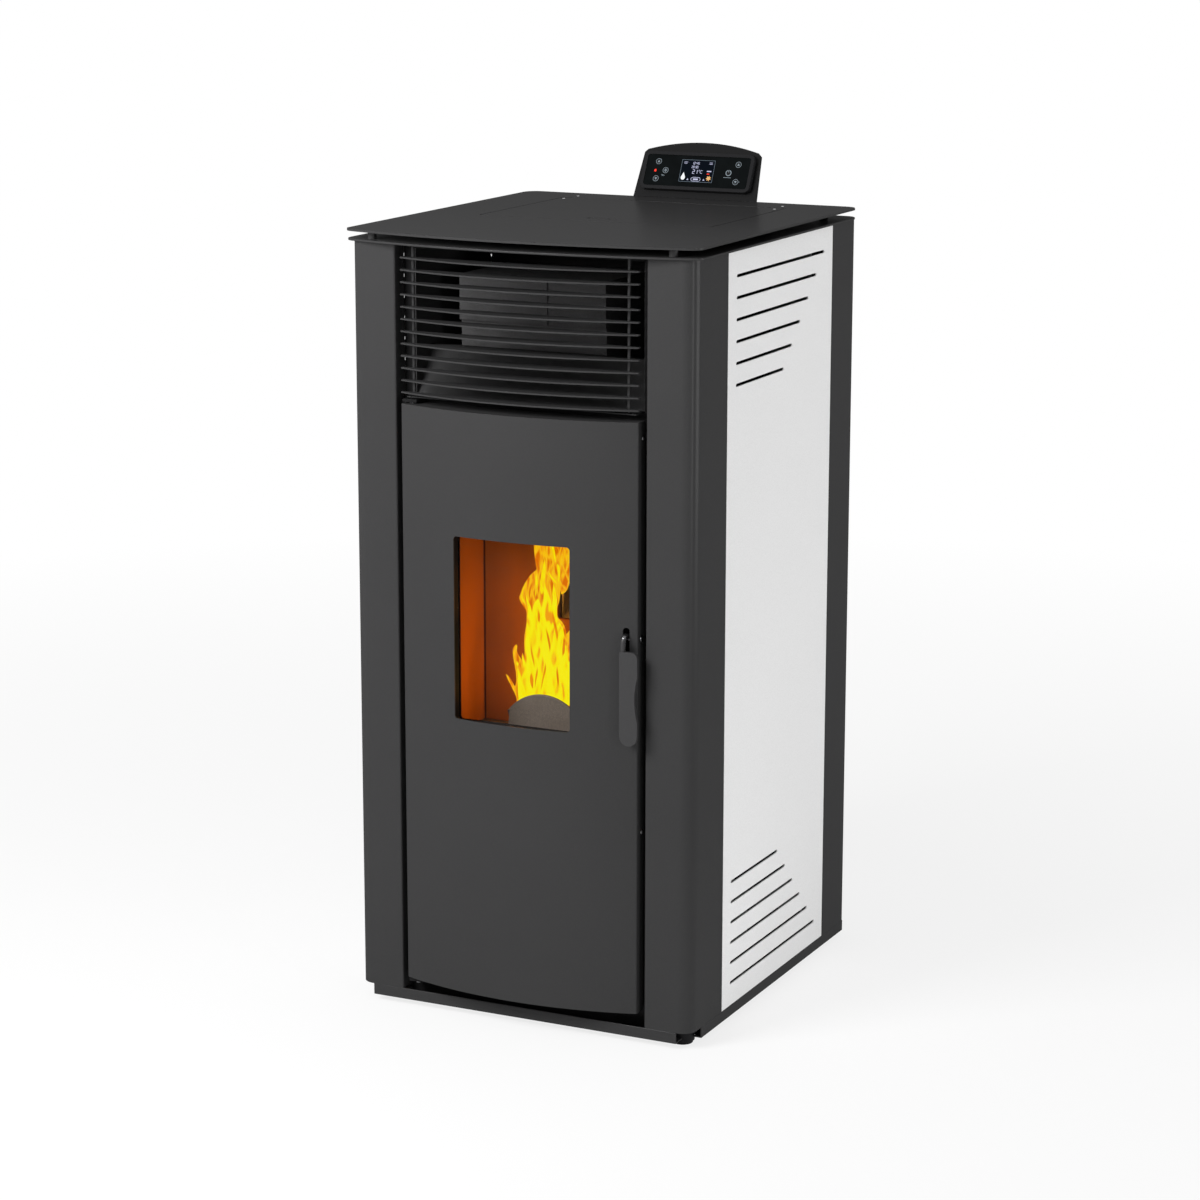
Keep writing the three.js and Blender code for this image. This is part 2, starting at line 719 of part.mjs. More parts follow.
function addPosts() {
  const shapes = {
    front: [frontPostFace, frontPostSide, postReturn],
    rear: [rearPostFace, rearPostSide, 2 * sheet],
  };
  const stemX = halfWidth - footInset;
  const stemY = frontFace + footInsetY;
  const webMargin = footRadius + sheet;
  const middle = sheet / 2;
  const web = [
    v2(stemX - webMargin, frontFace + middle), v2(halfWidth - postCornerRadius, frontFace + middle),
    v2(halfWidth - middle, frontFace + postCornerRadius), v2(halfWidth - middle, stemY + webMargin),
    v2(stemX - webMargin, stemY + webMargin),
  ];
  const webZ = rimZ + fit;
  for (const [end, sy] of ends) {
    for (const [side, sx] of sides) {
      const place = (points) => points.map((p) => v2(sx * p.x, -sy * p.y));
      const stemHole = place(circle(stemX, stemY, footStemRadius + fit));
      const post = join(
        prismZ(place(postOutline(...shapes[end])), rimZ, caseTop),
        prismZ(place(web), webZ, webZ + sheet, [stemHole]));
      add(`post_${end}_${side}`, post, charcoal());
    }
  }
}

function panelSlots() {
  const y0 = panelFront + slotFrontMargin;
  const longestSlot = panelRear - slotRearMargin - y0;
  const slot = (z, length) => stadium(y0, y0 + length, z, slotHeight / 2);
  const slots = [];
  for (let i = 0; i < slotCount; i += 1) {
    const length = longestSlot - i * slotStep;
    slots.push(slot(caseTop - slotTopMargin - i * slotPitch, length));
    slots.push(slot(rimZ + slotBottomMargin + i * slotPitch, length));
  }
  return slots;
}

function addSidePanels() {
  const y0 = panelFront;
  const y1 = panelRear;
  const tools = panelSlots();
  for (const [side, sx] of sides) {
    const channel = [
      v2(halfWidth, y0), v2(halfWidth, y1), v2(halfWidth - panelHem, y1),
      v2(halfWidth - panelHem, y1 - sheet), v2(halfWidth - sheet, y1 - sheet),
      v2(halfWidth - sheet, y0 + sheet), v2(halfWidth - panelHem, y0 + sheet),
      v2(halfWidth - panelHem, y0),
    ].map((p) => v2(sx * p.x, p.y));
    const low = sx * (halfWidth - sheet / 2) - sheet;
    const slots = tools.map((slot) => prismX(slot, low, low + 2 * sheet));
    add(`side_panel_${side}`, cut(prismZ(channel, rimZ + fit, caseTop), ...slots), white());
  }
}

// rows of vent slots, one above the other
function ventRows(x, z) {
  const half = ventSlotLength / 2;
  return Array.from({ length: ventSlotCount }, (_, i) => (
    stadium(x - half, x + half, z + i * ventSlotPitch, ventSlotHeight / 2)));
}

function addBack() {
  const w = inletWidth / 2 - inletFlange;
  const h = inletHeight / 2 - inletFlange;
  const holes = [
    circle(flueX, flueZ, flueRadius + pipeGap, ring),
    circle(intakeX, intakeZ, intakeRadius + pipeGap, ring),
    rectangle(inletX - w, inletX + w, inletZ - h, inletZ + h),
    ...ventRows(0, boardZ + boardHeight),
    ...ventRows(blowerLeft + blowerLength / 2, inletZ + inletHeight),
  ];
  const outline = rectangle(-backHalf, backHalf, rimZ + fit, caseTop);
  // the sheet's top is folded forward to close the case behind the bracket's tab
  const fold = box(-backHalf, backHalf, plateRear + bracketThickness + 2 * fit, backPanelFront + sheet / 2,
    caseTop - sheet, caseTop);
  add('back_panel', join(prismY(outline, backPanelFront, backPanelFront + sheet, holes), fold), zinc());
}

function addFrontFrame() {
  const half = postInner - fit;
  const y0 = bulkheadFront;
  const lug = (z0) => prismZ(
    rectangle(hingeX - hingeLug, hingeX + hingeLug, hingeY - hingeLugFront, y0 + 1),
    z0, z0 + hingeLugThickness, [circle(hingeX, hingeY, hingePinRadius + fit)]);
  const plate = prismY(rectangle(-half, half, trayFloor, caseTop), y0, bulkheadRear, [
    rectangle(-mouthHalf, mouthHalf, mouthBottom, mouthTop),
    rectangle(-grilleMouthHalf, grilleMouthHalf, shelfZ - fit, caseTop - grilleMouthDrop),
    rectangle(latchSlotLeft, latchSlotRight, latchSlotBottom, latchSlotTop),
  ]);
  // keeper: a cross pin in a small bracket behind the latch slot, just above the handle's tongue
  const keeperZ = pivotZ + tongueHeight / 2 + fit + keeperRadius;
  const keeperY = pivotY + tongueReach - keeperRadius - 1;
  const keeperSide = latchSlotRight + 1;
  const keeper = [
    box(keeperSide, keeperSide + sheet, bulkheadRear - 0.5, keeperY + keeperRadius + 1,
      keeperZ - keeperRadius - sheet, keeperZ + keeperRadius + sheet),
    barX(keeperY, keeperZ, keeperRadius, latchSlotLeft, keeperSide + sheet / 2)];
  const frame = join(
    plate, lug(doorTop + lugGap), lug(doorBottom - lugGap - hingeLugThickness), ...keeper);
  add('front_frame', frame, black());
}

// ---------------------------------------------------------------- top
function plateOutline(reach) {
  return bowedOutline({
    half: halfWidth + plateOverhang, apex: frontFace - reach, bow: plateBowRadius, rear: plateRear,
    frontFillet: plateCornerRadius, rearFillet: plateCornerRadius, bowSteps: 20,
  });
}

// hinge knuckles along the lid's rear edge; the lid takes the middle one of each three
function knuckles(forLid) {
  const y = lidRearY + lidHingeGap / 2;
  const z = topFace - knuckleRadius + 0.2;
  const reach = lidHingeGap / 2 + 1;
  const made = [];
  for (const [, sx] of sides) {
    const slots = forLid ? [0] : [-1, 1];
    for (const k of slots) {
      const middle = sx * knuckleOffset + k * knuckleLength;
      const x0 = middle - knuckleLength / 2 + fit / 2;
      const x1 = middle + knuckleLength / 2 - fit / 2;
      made.push(barX(y, z, knuckleRadius, x0, x1, 8));
      const [a, b] = forLid ? [y - reach, y] : [y, y + reach];
      made.push(box(x0, x1, a, b, z - knuckleRadius * 0.7, z + knuckleRadius * 0.7));
    }
  }
  return made;
}

function addTop() {
  const neck = rectangle(-hopperHalf - fit, hopperHalf + fit, hopperFront - fit, hopperRear + fit);
  add('lower_top_plate', prismZ(plateOutline(lowerPlateReach), caseTop, lowerPlateTop, [neck]), charcoal());

  const lidHole = roundedRect(-lidWidth / 2 - lidGap, lidWidth / 2 + lidGap,
    lidFrontY - lidGap, lidRearY + lidHingeGap, lidCornerRadius, 3);
  const spacers = [];
  for (const [, sx] of sides) {
    const x = sx * (halfWidth - spacerInset);
    for (const y of [frontFace - upperPlateReach + spacerFrontInset, plateRear - spacerInset]) {
      spacers.push(barZ(x, y, spacerRadius, lowerPlateTop, upperPlateBottom + 1));
    }
  }
  const upper = prismZ(plateOutline(upperPlateReach), upperPlateBottom, topFace, [lidHole]);
  add('upper_top_plate', join(upper, ...spacers, ...knuckles(false)), charcoal());

  const slot = roundedRect(-lidSlotWidth / 2, lidSlotWidth / 2, lidFrontY + lidSlotInset - lidSlotDepth / 2,
    lidFrontY + lidSlotInset + lidSlotDepth / 2, lidSlotDepth * 0.45, 3);
  const lid = prismZ(roundedRect(-lidWidth / 2, lidWidth / 2, lidFrontY, lidRearY, lidCornerRadius, 3),
    upperPlateBottom, topFace, [slot]);
  add('hopper_lid', join(lid, ...knuckles(true)), charcoal());
}

// ---------------------------------------------------------------- control panel
function addControls() {
  const panel = new THREE.Group();
  panel.position.set(controlOffset, plateRear + fit, topFace);
  panel.rotation.x = -rad(controlLean);
  stove.add(panel);

  // arch through both shoulders and the apex
  const lower = housingWidth / 2 + bracketMargin;
  const upper = lower - bracketTaper;
  const top = upper - bracketCorner;
  const rise = bracketApex - bracketShoulder;
  const archRadius = (top ** 2 + rise ** 2) / (2 * rise);
  const half = Math.asin(top / archRadius);
  const plate = [
    v2(-lower, 0), v2(lower, 0), v2(upper, bracketShoulder - bracketCorner),
    ...arc(0, bracketApex - archRadius, archRadius, Math.PI / 2 - half, Math.PI / 2 + half, 16),
    v2(-upper, bracketShoulder - bracketCorner),
  ];
  const rear = {
    x: housingWidth / 2 - housingRearInset, z0: housingRise + housingRearInset,
    z1: housingRise + housingHeight - housingRearInset,
  };
  const opening = rectangle(-rear.x - fit, rear.x + fit, rear.z0 - fit, rear.z1 + fit);
  const tilted = prismY(plate, 0, bracketThickness, [opening]);
  tilted.rotateX(-rad(controlLean));
  const tab = box(-lower, lower, 0, bracketThickness, -bracketTail, fit);
  const bracket = add('control_bracket', join(tilted, tab), charcoal());
  bracket.position.set(controlOffset, plateRear + fit, topFace);

  const z0 = housingRise;
  const z1 = housingRise + housingHeight;
  const midZ = (z0 + z1) / 2;
  const front = -housingProud - fit;
  const displayWidth = housingWidth - 2 * bezelRim;
  const displayHeight = housingHeight - 2 * bezelRim;
  const arrows = displayWidth / 2 - keyInset;
  const windowRect = (grow) => roundedRect(-displayWidth / 2 - grow, displayWidth / 2 + grow,
    midZ - displayHeight / 2 - grow, midZ + displayHeight / 2 + grow, displayCorner);
  const bezel = prismY(
    roundedRect(-housingWidth / 2, housingWidth / 2, z0, z1, housingCorner, 5), front, -fit);
  const back = box(-rear.x, rear.x, -fit - 1, housingRear, rear.z0, rear.z1);
  const keyFloor = front + displayRecess + displayThickness + keyTravelRoom;
  const recess = prismY(windowRect(fit), front - 1, front + displayRecess + displayThickness + fit);
  const keys = [
    ['key_left_up', -arrows, keySpacing], ['key_left_down', -arrows, -keySpacing],
    ['key_menu', keySpacing - arrows, 0], ['key_power', arrows - keySpacing, 0],
    ['key_right_up', arrows, keySpacing], ['key_right_down', arrows, -keySpacing],
  ];
  const wells = keys.map(([, x, z]) => barY(x, midZ + z, keyRadius + keyHoleGap, front, keyFloor, keySides));
  add('display_housing', cut(join(bezel, back), recess, ...wells), black(), panel);

  const holes = keys.map(([, x, z]) => circle(x, midZ + z, keyRadius + keyHoleGap, keySides));
  const glass = prismY(windowRect(0), front + displayRecess, front + displayRecess + displayThickness, holes);
  add('display_glass', glass, glassy(), panel);
  for (const [name, x, z] of keys) {
    const keyFront = front + displayRecess;
    add(name, barY(x, midZ + z, keyRadius, keyFront, keyFront + keyThickness, keySides), black(), panel);
  }
}

// ---------------------------------------------------------------- grille
function addGrille() {
  const slat = bowedOutline({
    half: doorHalfWidth, apex: frontFace - slatReach, bow: doorBowRadius,
    rear: slatRear, frontFillet: 1.5, rearFillet: 0,
    bowSteps: 15, filletSteps: 1,
  });
  const pieces = [];
  for (let i = 0; i < slatCount; i += 1) {
    const z = lowestSlatZ + i * slatPitch;
    pieces.push(prismZ(slat, z - slatThickness, z));
  }
  const rodY0 = slatRear + grilleRodRadius * 0.7;
  for (const [, sx] of sides) {
    pieces.push(barZ(sx * grilleRodX, rodY0, grilleRodRadius,
      lowestSlatZ - slatThickness - grilleRodTail, caseTop - fit, 8));
    pieces.push(box(sx * grilleRodX - grilleFoot / 2, sx * grilleRodX + grilleFoot / 2,
      rodY0 - grilleFoot / 2, rodY0 + grilleFoot / 2, caseTop - fit - sheet, caseTop - fit));
  }
  add('front_grille', join(...pieces), charcoal());

  // one folded sheet: a shelf through the mouth, a deflector that slopes up behind it, and cheeks that
  // lead the warm air past the hopper's front wall to the mouth
  const y0 = frontFace + shelfFront;
  const y1 = bulkheadRear + shelfFlat;
  const y2 = frontFace + deflectorTopBehind;
  const z1 = shelfZ + deflectorRise;
  const half = grilleMouthHalf - fit;
  const shelf = prismX([
    v2(y0, shelfZ), v2(y1, shelfZ), v2(y2, z1 - sheet), v2(y2 + deflectorLip, z1 - sheet),
    v2(y2 + deflectorLip, z1), v2(y2 - 1, z1), v2(y1 - 1, shelfZ + sheet), v2(y0, shelfZ + sheet),
  ], sheet / 2 - half, half - sheet / 2);
  const cheeks = sides.map(([, sx]) => {
    const middle = sx * (half - sheet / 2);
    return box(middle - sheet / 2, middle + sheet / 2, bulkheadRear + fit, hopperFront + hopperFlange,
      shelfZ + sheet / 2, caseTop - grilleMouthDrop);
  });
  add('grille_shelf', join(shelf, ...cheeks), charcoal());
}

// ---------------------------------------------------------------- door
function doorOutline(inset) {
  return bowedOutline({
    half: doorHalfWidth - inset, apex: frontFace - doorReach + inset, bow: doorBowRadius - inset,
    rear: doorFlangeRear + (inset > 0 ? doorSkin : 0), frontFillet: foldRadius - inset * 0.8,
    rearFillet: 0, bowSteps: 24,
  });
}

// rounded rectangle that follows the frame's opening at a given distance outside it
function aroundSight(grow, corner) {
  return roundedRect(-sightHalfWidth - grow, sightHalfWidth + grow, sightBottom - grow, sightTop + grow,
    corner, 3);
}

function addDoor() {
  const slotHalf = handleSlotWidth / 2;
  const z0 = doorBottom + doorSkin + frameGap;
  const z1 = doorTop - doorSkin - frameGap;
  const pan = cut(
    prismZ(doorOutline(0), doorBottom, doorTop),
    prismZ(doorOutline(doorSkin), doorBottom + doorSkin, doorTop - doorSkin),
    prismY(roundedRect(-windowWidth / 2, windowWidth / 2, windowBottom, windowTop, windowCorner, 5),
      frontFace - doorReach - 1, collarFront - 1),
    prismY(roundedRect(handleRodX - slotHalf, handleRodX + slotHalf, pivotZ - handleSlotDrop,
      pivotZ + handleSlotRise, slotHalf * 0.98, 5), frontFace - doorReach, pivotY - hubRadius),
    barX(pivotY, pivotZ, pivotPinRadius + fit, doorHalfWidth - 2 * doorSkin, doorHalfWidth + 1),
    barZ(hingeX, hingeY, hingePinRadius + fit, doorBottom - 1, doorBottom + 2 * doorSkin),
    barZ(hingeX, hingeY, hingePinRadius + fit, doorTop - 2 * doorSkin, doorTop + 1));
  add('door_cladding', pan, charcoal());

  const half = doorHalfWidth - doorSkin - frameGap;
  const sight = aroundSight(0, sightCorner);
  const blocks = [];
  const pinHoles = [];
  for (const [low, high, blind] of [[z0, z0 + hingeBlockHeight, 1], [z1 - hingeBlockHeight, z1, -1]]) {
    blocks.push(box(hingeX - hingeLug + hingeBlockInset, hingeX + hingeLug, hingeY - hingeLugFront,
      doorFrameFront + 1, low, high));
    pinHoles.push(barZ(hingeX, hingeY, hingePinRadius + fit, low - blind * hingeBlind,
      high - blind * hingeBlind));
  }
  const lugEnd = hubLeft - 2 * fit;
  const pivotLug = box(lugEnd - pivotLugWidth, lugEnd, pivotY - hubRadius, doorFrameFront + 1,
    pivotZ - hubRadius, pivotZ + hubRadius);
  const frame = cut(
    join(box(-half, half, doorFrameFront, doorFrameRear, z0, z1),
      prismY(aroundSight(collarWall, collarCorner), collarFront, doorFrameRear), ...blocks, pivotLug),
    prismY(sight, collarFront - 1, doorFrameRear + 1),
    prismY(aroundSight(glassLap + fit, sightCorner), doorFrameRear - glassThickness - fit, doorFrameRear + 1),
    box(latchSlotLeft, latchSlotRight, doorFrameFront - 1, doorFrameRear + 1, latchSlotBottom, latchSlotTop),
    barX(pivotY, pivotZ, pivotPinRadius + fit, lugEnd - pivotLugWidth - 1, lugEnd + 1),
    ...pinHoles);
  add('door_frame', frame, black());

  const glass = aroundSight(glassLap, sightCorner);
  add('door_glass', prismY(glass, doorFrameRear - glassThickness, doorFrameRear), glassy());

  const ringRear = doorFrameRear + fit;
  const retainer = prismY(aroundSight(collarWall, collarCorner), ringRear, ringRear + retainerThickness,
    [sight]);
  add('glass_retainer', retainer, black());

  const band = (inset, corner) => roundedRect(
    inset - mouthHalf - gasketLap, mouthHalf + gasketLap - inset,
    mouthBottom - gasketLap + inset, mouthTop + gasketLap - inset, corner, 4);
  const gasket = prismY(band(0, gasketCorner), ringRear, bulkheadFront - fit,
    [band(gasketWidth, gasketCorner - gasketWidth)]);
  add('door_gasket', gasket, paint(0x2b2b2b, 0.95, 0));

  const pinEnd = hingeBlockHeight - hingeBlind - 1;
  for (const [name, a, b] of [
    ['hinge_pin_bottom', doorBottom - lugGap - hingeLugThickness - hingePinProud, z0 + pinEnd],
    ['hinge_pin_top', z1 - pinEnd, doorTop + lugGap + hingeLugThickness]]) {
    add(name, barZ(hingeX, hingeY, hingePinRadius, a, b), steel());
  }
}

// bent rod, grip plate, hub and latch tongue turn together on the handle pin
function addHandle() {
  const gripFront = frontFace - gripProud;
  const gripBack = gripFront + gripThickness;
  const gripTop = pivotZ - gripDrop;
  const gripBottom = gripTop - gripLength;
  const rodY1 = gripBack - rodSink;
  const path = new THREE.CatmullRomCurve3(rodBends.map(([forward, up]) => (
    new THREE.Vector3(handleRodX, THREE.MathUtils.lerp(pivotY, rodY1, forward), pivotZ + up))),
  false, 'centripetal');
  const rod = new THREE.ExtrudeGeometry(new THREE.Shape(circle(0, 0, rodRadius, 10)), {
    steps: 16, bevelEnabled: false, extrudePath: path,
  });
  const left = handleRodX - gripSetback;
  const right = left + gripWidth;
  const end = gripWidth / 2;
  const reliefHalf = gripLength / 2 - gripReliefMargin;
  const reliefRadius = (reliefHalf ** 2 + gripRelief ** 2) / (2 * gripRelief);
  const reliefAngle = Math.asin(reliefHalf / reliefRadius);
  const outline = [
    ...arc(left + end, gripBottom + end, end, Math.PI, 2 * Math.PI, 12),
    ...arc(right - gripRelief + reliefRadius, (gripTop + gripBottom) / 2, reliefRadius,
      Math.PI + reliefAngle, Math.PI - reliefAngle, 10),
    ...arc(right - gripCorner, gripTop - gripCorner, gripCorner, 0, Math.PI / 2, 5),
    ...arc(left + 2, gripTop - 2, 2, Math.PI / 2, Math.PI, 2),
  ];
  const grip = prismY(outline, gripFront, gripBack);
  const hub = barX(pivotY, pivotZ, hubRadius, hubLeft, hubRight, ring);
  const tongue = box(tongueX, tongueX + tongueWidth, pivotY + tongueRoot, pivotY + tongueReach,
    pivotZ - tongueHeight / 2, pivotZ + tongueHeight / 2);
  const bore = barX(pivotY, pivotZ, pivotPinRadius + fit, hubLeft - 1, hubRight + 1);
  add('door_handle', cut(join(rod, grip, hub, tongue), bore), steel());

  const headStart = doorHalfWidth + fit;
  const pin = join(
    barX(pivotY, pivotZ, pivotPinRadius, hubLeft - pivotLugWidth, headStart + 1),
    barX(pivotY, pivotZ, pivotHeadRadius, headStart, headStart + pivotHeadThickness, ring));
  add('handle_pin', pin, steel());
}

// ---------------------------------------------------------------- firebox
const inset = ([x0, x1, y0, y1], d) => [x0 + d, x1 - d, y0 + d, y1 - d];

function addFirebox() {
  const half = fireboxHalf;
  const w = fireboxWall;
  const chute = rectangle(-chuteHalf, chuteHalf, chuteBottom, chuteBottom + chuteHeight);
  const potRim = [-potWidth / 2, potWidth / 2, potFront, potRear];
  const portRear = linerFace - exchangerPortGap;
  const throughBack = [fireboxBack - 1, fireboxOuterBack + 1];
  const shell = cut(
    box(-half - w, half + w, bulkheadRear, fireboxOuterBack, fireboxBottom, fireboxTop),
    box(-half, half, bulkheadRear - 1, fireboxBack, chamberFloor, fireboxTop - w),
    box(-half, half, bulkheadRear - 1, fireboxBack, mouthBottom, chamberFloor - w),
    box(...inset(potRim, potTaper / 2), chamberFloor - w - 1, chamberFloor + 1),
    box(exchangerLeft + exchangerPort, exchangerRight - exchangerPort,
      portRear - exchangerPortDepth, portRear, fireboxTop - w - 1, fireboxTop + 1),
    prismY(chute, ...throughBack),
    barY(intakeX, intakeZ, intakeRadius - pipeWall, ...throughBack, ring),
    barY(0, igniterZ, igniterRadius + fit, ...throughBack));
  add('firebox_shell', shell, castIron());

  const back = rectangle(-half + fit, half - fit, chamberFloor + fit, linerTop);
  add('back_liner', prismY(back, linerFace, fireboxBack - fit, [chute]), lining());
  for (const [side, sx] of sides) {
    const middle = sx * (mouthHalf + linerThickness / 2);
    add(`side_liner_${side}`, box(middle - linerThickness / 2, middle + linerThickness / 2,
      bulkheadRear + fit, linerFace - fit, chamberFloor + fit, linerTop), lining());
  }

  const seatZ = linerTop + fit;
  const baffleFront = bulkheadFront + baffleFrontGap;
  const baffle = prismX([
    v2(linerFace + linerThickness / 2, seatZ), v2(linerFace + linerThickness / 2, seatZ + baffleThickness),
    v2(baffleFront, seatZ + baffleThickness + baffleSlope), v2(baffleFront, seatZ + baffleSlope),
    v2(linerFace - baffleSeat, seatZ),
  ], 1 - half, half - 1);
  add('flame_baffle', baffle, castIron());

  // cast cup with a rim flange on the chamber floor and air holes in its bottom
  const outer = (z) => inset(potRim, potTaper * (potTop - z) / (potTop - potBottom));
  const holes = [];
  for (let i = -potHoleColumns; i <= potHoleColumns; i += 1) {
    for (let j = -potHoleRows; j <= potHoleRows; j += 1) {
      holes.push(barZ(i * potHoleSpacing, (potFront + potRear) / 2 + j * potHoleRowSpacing, potHoleRadius,
        potBottom - 1, potBottom + potWall + 1, 6));
    }
  }
  const flangeZ = chamberFloor + fit;
  const pot = cut(
    join(taperedBlock(outer(potBottom), potBottom, potRim, potTop),
      box(-potWidth / 2 - potFlange, potWidth / 2 + potFlange, potFront, potRear,
        flangeZ, flangeZ + potFlangeThickness)),
    taperedBlock(inset(outer(potBottom + potWall), potWall), potBottom + potWall,
      inset(outer(potTop + 1), potWall), potTop + 1),
    ...holes);
  add('burn_pot', pot, castIron());

  // upright shield with an arched top in front of the pot
  const shieldRear = potFront - shieldGap;
  const archZ = chamberFloor + shieldRise - shieldArchRadius;
  const spread = Math.asin((shieldHalf - shieldShoulder) / shieldArchRadius);
  const shield = [
    v2(shieldOffset - shieldHalf, chamberFloor + fit), v2(shieldOffset + shieldHalf, chamberFloor + fit),
    ...arc(shieldOffset, archZ, shieldArchRadius, Math.PI / 2 - spread, Math.PI / 2 + spread, 16),
  ];
  add('pot_shield', prismY(shield, shieldRear - shieldThickness, shieldRear), castIron());

  const pan = [ashPanInset - mouthHalf, mouthHalf - ashPanInset, bulkheadFront + ashPanFrontGap,
    fireboxBack - ashPanRearGap];
  const panFloor = mouthBottom + fit;
  const panTop = panFloor + ashPanHeight;
  const pull = box(-ashPullHalf, ashPullHalf, pan[2] - ashPullDepth, pan[2] + ashPanWall / 2,
    panTop - ashPullHeight, panTop);
  add('ash_pan', cut(
    join(box(...pan, panFloor, panTop), pull),
    box(...inset(pan, ashPanWall), panFloor + ashPanWall, panTop + 1)), zinc());

  const igniterEnd = fireboxOuterBack + igniterReach;
  add('igniter', barY(0, igniterZ, igniterRadius, potRear - igniterTip, igniterEnd), steel());
}

// ---------------------------------------------------------------- smoke path
function addSmokePath() {
  const w = exchangerWall;
  const coverTop = exchangerTop - coverDrop;
  const coverRear = exchangerFront + w / 2;
  const cover = (x0, x1, proud) => (
    box(x0, x1, exchangerFront - proud, coverRear, coverTop - coverHeight, coverTop));
  const around = [exchangerLeft, exchangerRight, exchangerFront, hopperFront - hopperFlange - exchangerGap];
  const exchanger = cut(
    join(box(...around, fireboxTop, exchangerTop),
      cover(exchangerLeft, exchangerSeam, coverLeftProud),
      cover(exchangerSeam, exchangerRight, coverRightProud)),
    box(...inset(around, w), fireboxTop - 1, exchangerTop - w));
  add('exchanger_box', exchanger, paint(0x3a3a3c, 0.7, 0.5));

  // upright leg behind the firebox, then a foot back to the fan's inlet
  const d = ductWall;
  const end = fanY + fanInletRadius + ductMargin;
  const low = fanZ - fanInletRadius - ductMargin;
  const foot = fanZ + fanInletRadius + ductMargin;
  const outer = [v2(ductFront, low), v2(end, low), v2(end, foot), v2(ductBack, foot),
    v2(ductBack, fireboxTop - fit), v2(ductFront, fireboxTop - fit)];
  const inner = [
    v2(ductFront + d, low + d), v2(end - d, low + d), v2(end - d, foot - d), v2(ductBack - d, foot - d),
    v2(ductBack - d, fireboxTop + 1), v2(ductFront + d, fireboxTop + 1)];
  const duct = cut(
    prismX(outer, ductLeft, ductRight),
    prismX(inner, ductLeft + d, ductRight - d),
    barX(fanY, fanZ, fanInletRadius, ductRight - d - 1, ductRight + 1, ring));
  add('smoke_duct', duct, zinc());

  // scroll housing with a tangential outlet that leaves through the back as the flue stub
  const flueEnd = rearFace + flueReach;
  const fanFoot = box(fanLeft + fanFootInset, fanRight - fanFootInset, fanY - fanFootHalf, fanY + fanFootHalf,
    trayFloor, fanZ - fanRadius + fanFootLap);
  const housing = cut(
    join(barX(fanY, fanZ, fanRadius, fanLeft, fanRight, ring),
      barY(flueX, flueZ, flueRadius, fanY, flueEnd, ring), fanFoot),
    barX(fanY, fanZ, fanRadius - fanWall, fanLeft + fanWall, fanRight - fanWall, ring),
    barY(flueX, flueZ, flueRadius - pipeWall, fanY, flueEnd + 1, ring),
    barX(fanY, fanZ, fanInletRadius, fanLeft - 1, fanLeft + fanWall + 1, ring),
    barX(fanY, fanZ, shaftRadius + fit, fanRight - fanWall - 1, fanRight + 1));
  add('exhaust_housing', housing, steel());

  // backplate, blades and hub on the motor's shaft
  const wheelLeft = fanRight - fanWall - impellerGap - impellerWidth;
  const shaftLength = impellerWidth + impellerGap + fanWall + shaftLap;
  const blades = Array.from({ length: bladeCount }, (_, i) => {
    const blade = box(-bladeThickness / 2, bladeThickness / 2, impellerHub - 2, impellerRadius, 0,
      impellerWidth - 1);
    blade.rotateZ(2 * Math.PI * i / bladeCount);
    return blade;
  });
  const wheel = join(
    barZ(0, 0, impellerRadius, impellerWidth - impellerPlate, impellerWidth, ring),
    barZ(0, 0, impellerHub, 0, impellerWidth, ring), ...blades,
    barZ(0, 0, shaftRadius, impellerWidth - 1, shaftLength));
  wheel.rotateY(Math.PI / 2);
  const impeller = add('exhaust_impeller', wheel, steel());
  impeller.position.set(wheelLeft, fanY, fanZ);

  const motorLeft = fanRight + fit;
  const motorRight = motorLeft + motorLength;
  const motor = cut(
    join(barX(fanY, fanZ, motorRadius, motorLeft, motorRight, ring),
      barX(fanY, fanZ, motorBossRadius, motorRight - 1, motorRight + motorBossLength, ring)),
    barX(fanY, fanZ, shaftRadius + fit, motorLeft - 1, wheelLeft + shaftLength + fit));
  add('exhaust_motor', motor, black());

  const intake = prismY(circle(intakeX, intakeZ, intakeRadius, ring), fireboxOuterBack + fit,
    rearFace + intakeReach, [circle(intakeX, intakeZ, intakeRadius - pipeWall, ring)]);
  add('air_intake_pipe', intake, zinc());
}

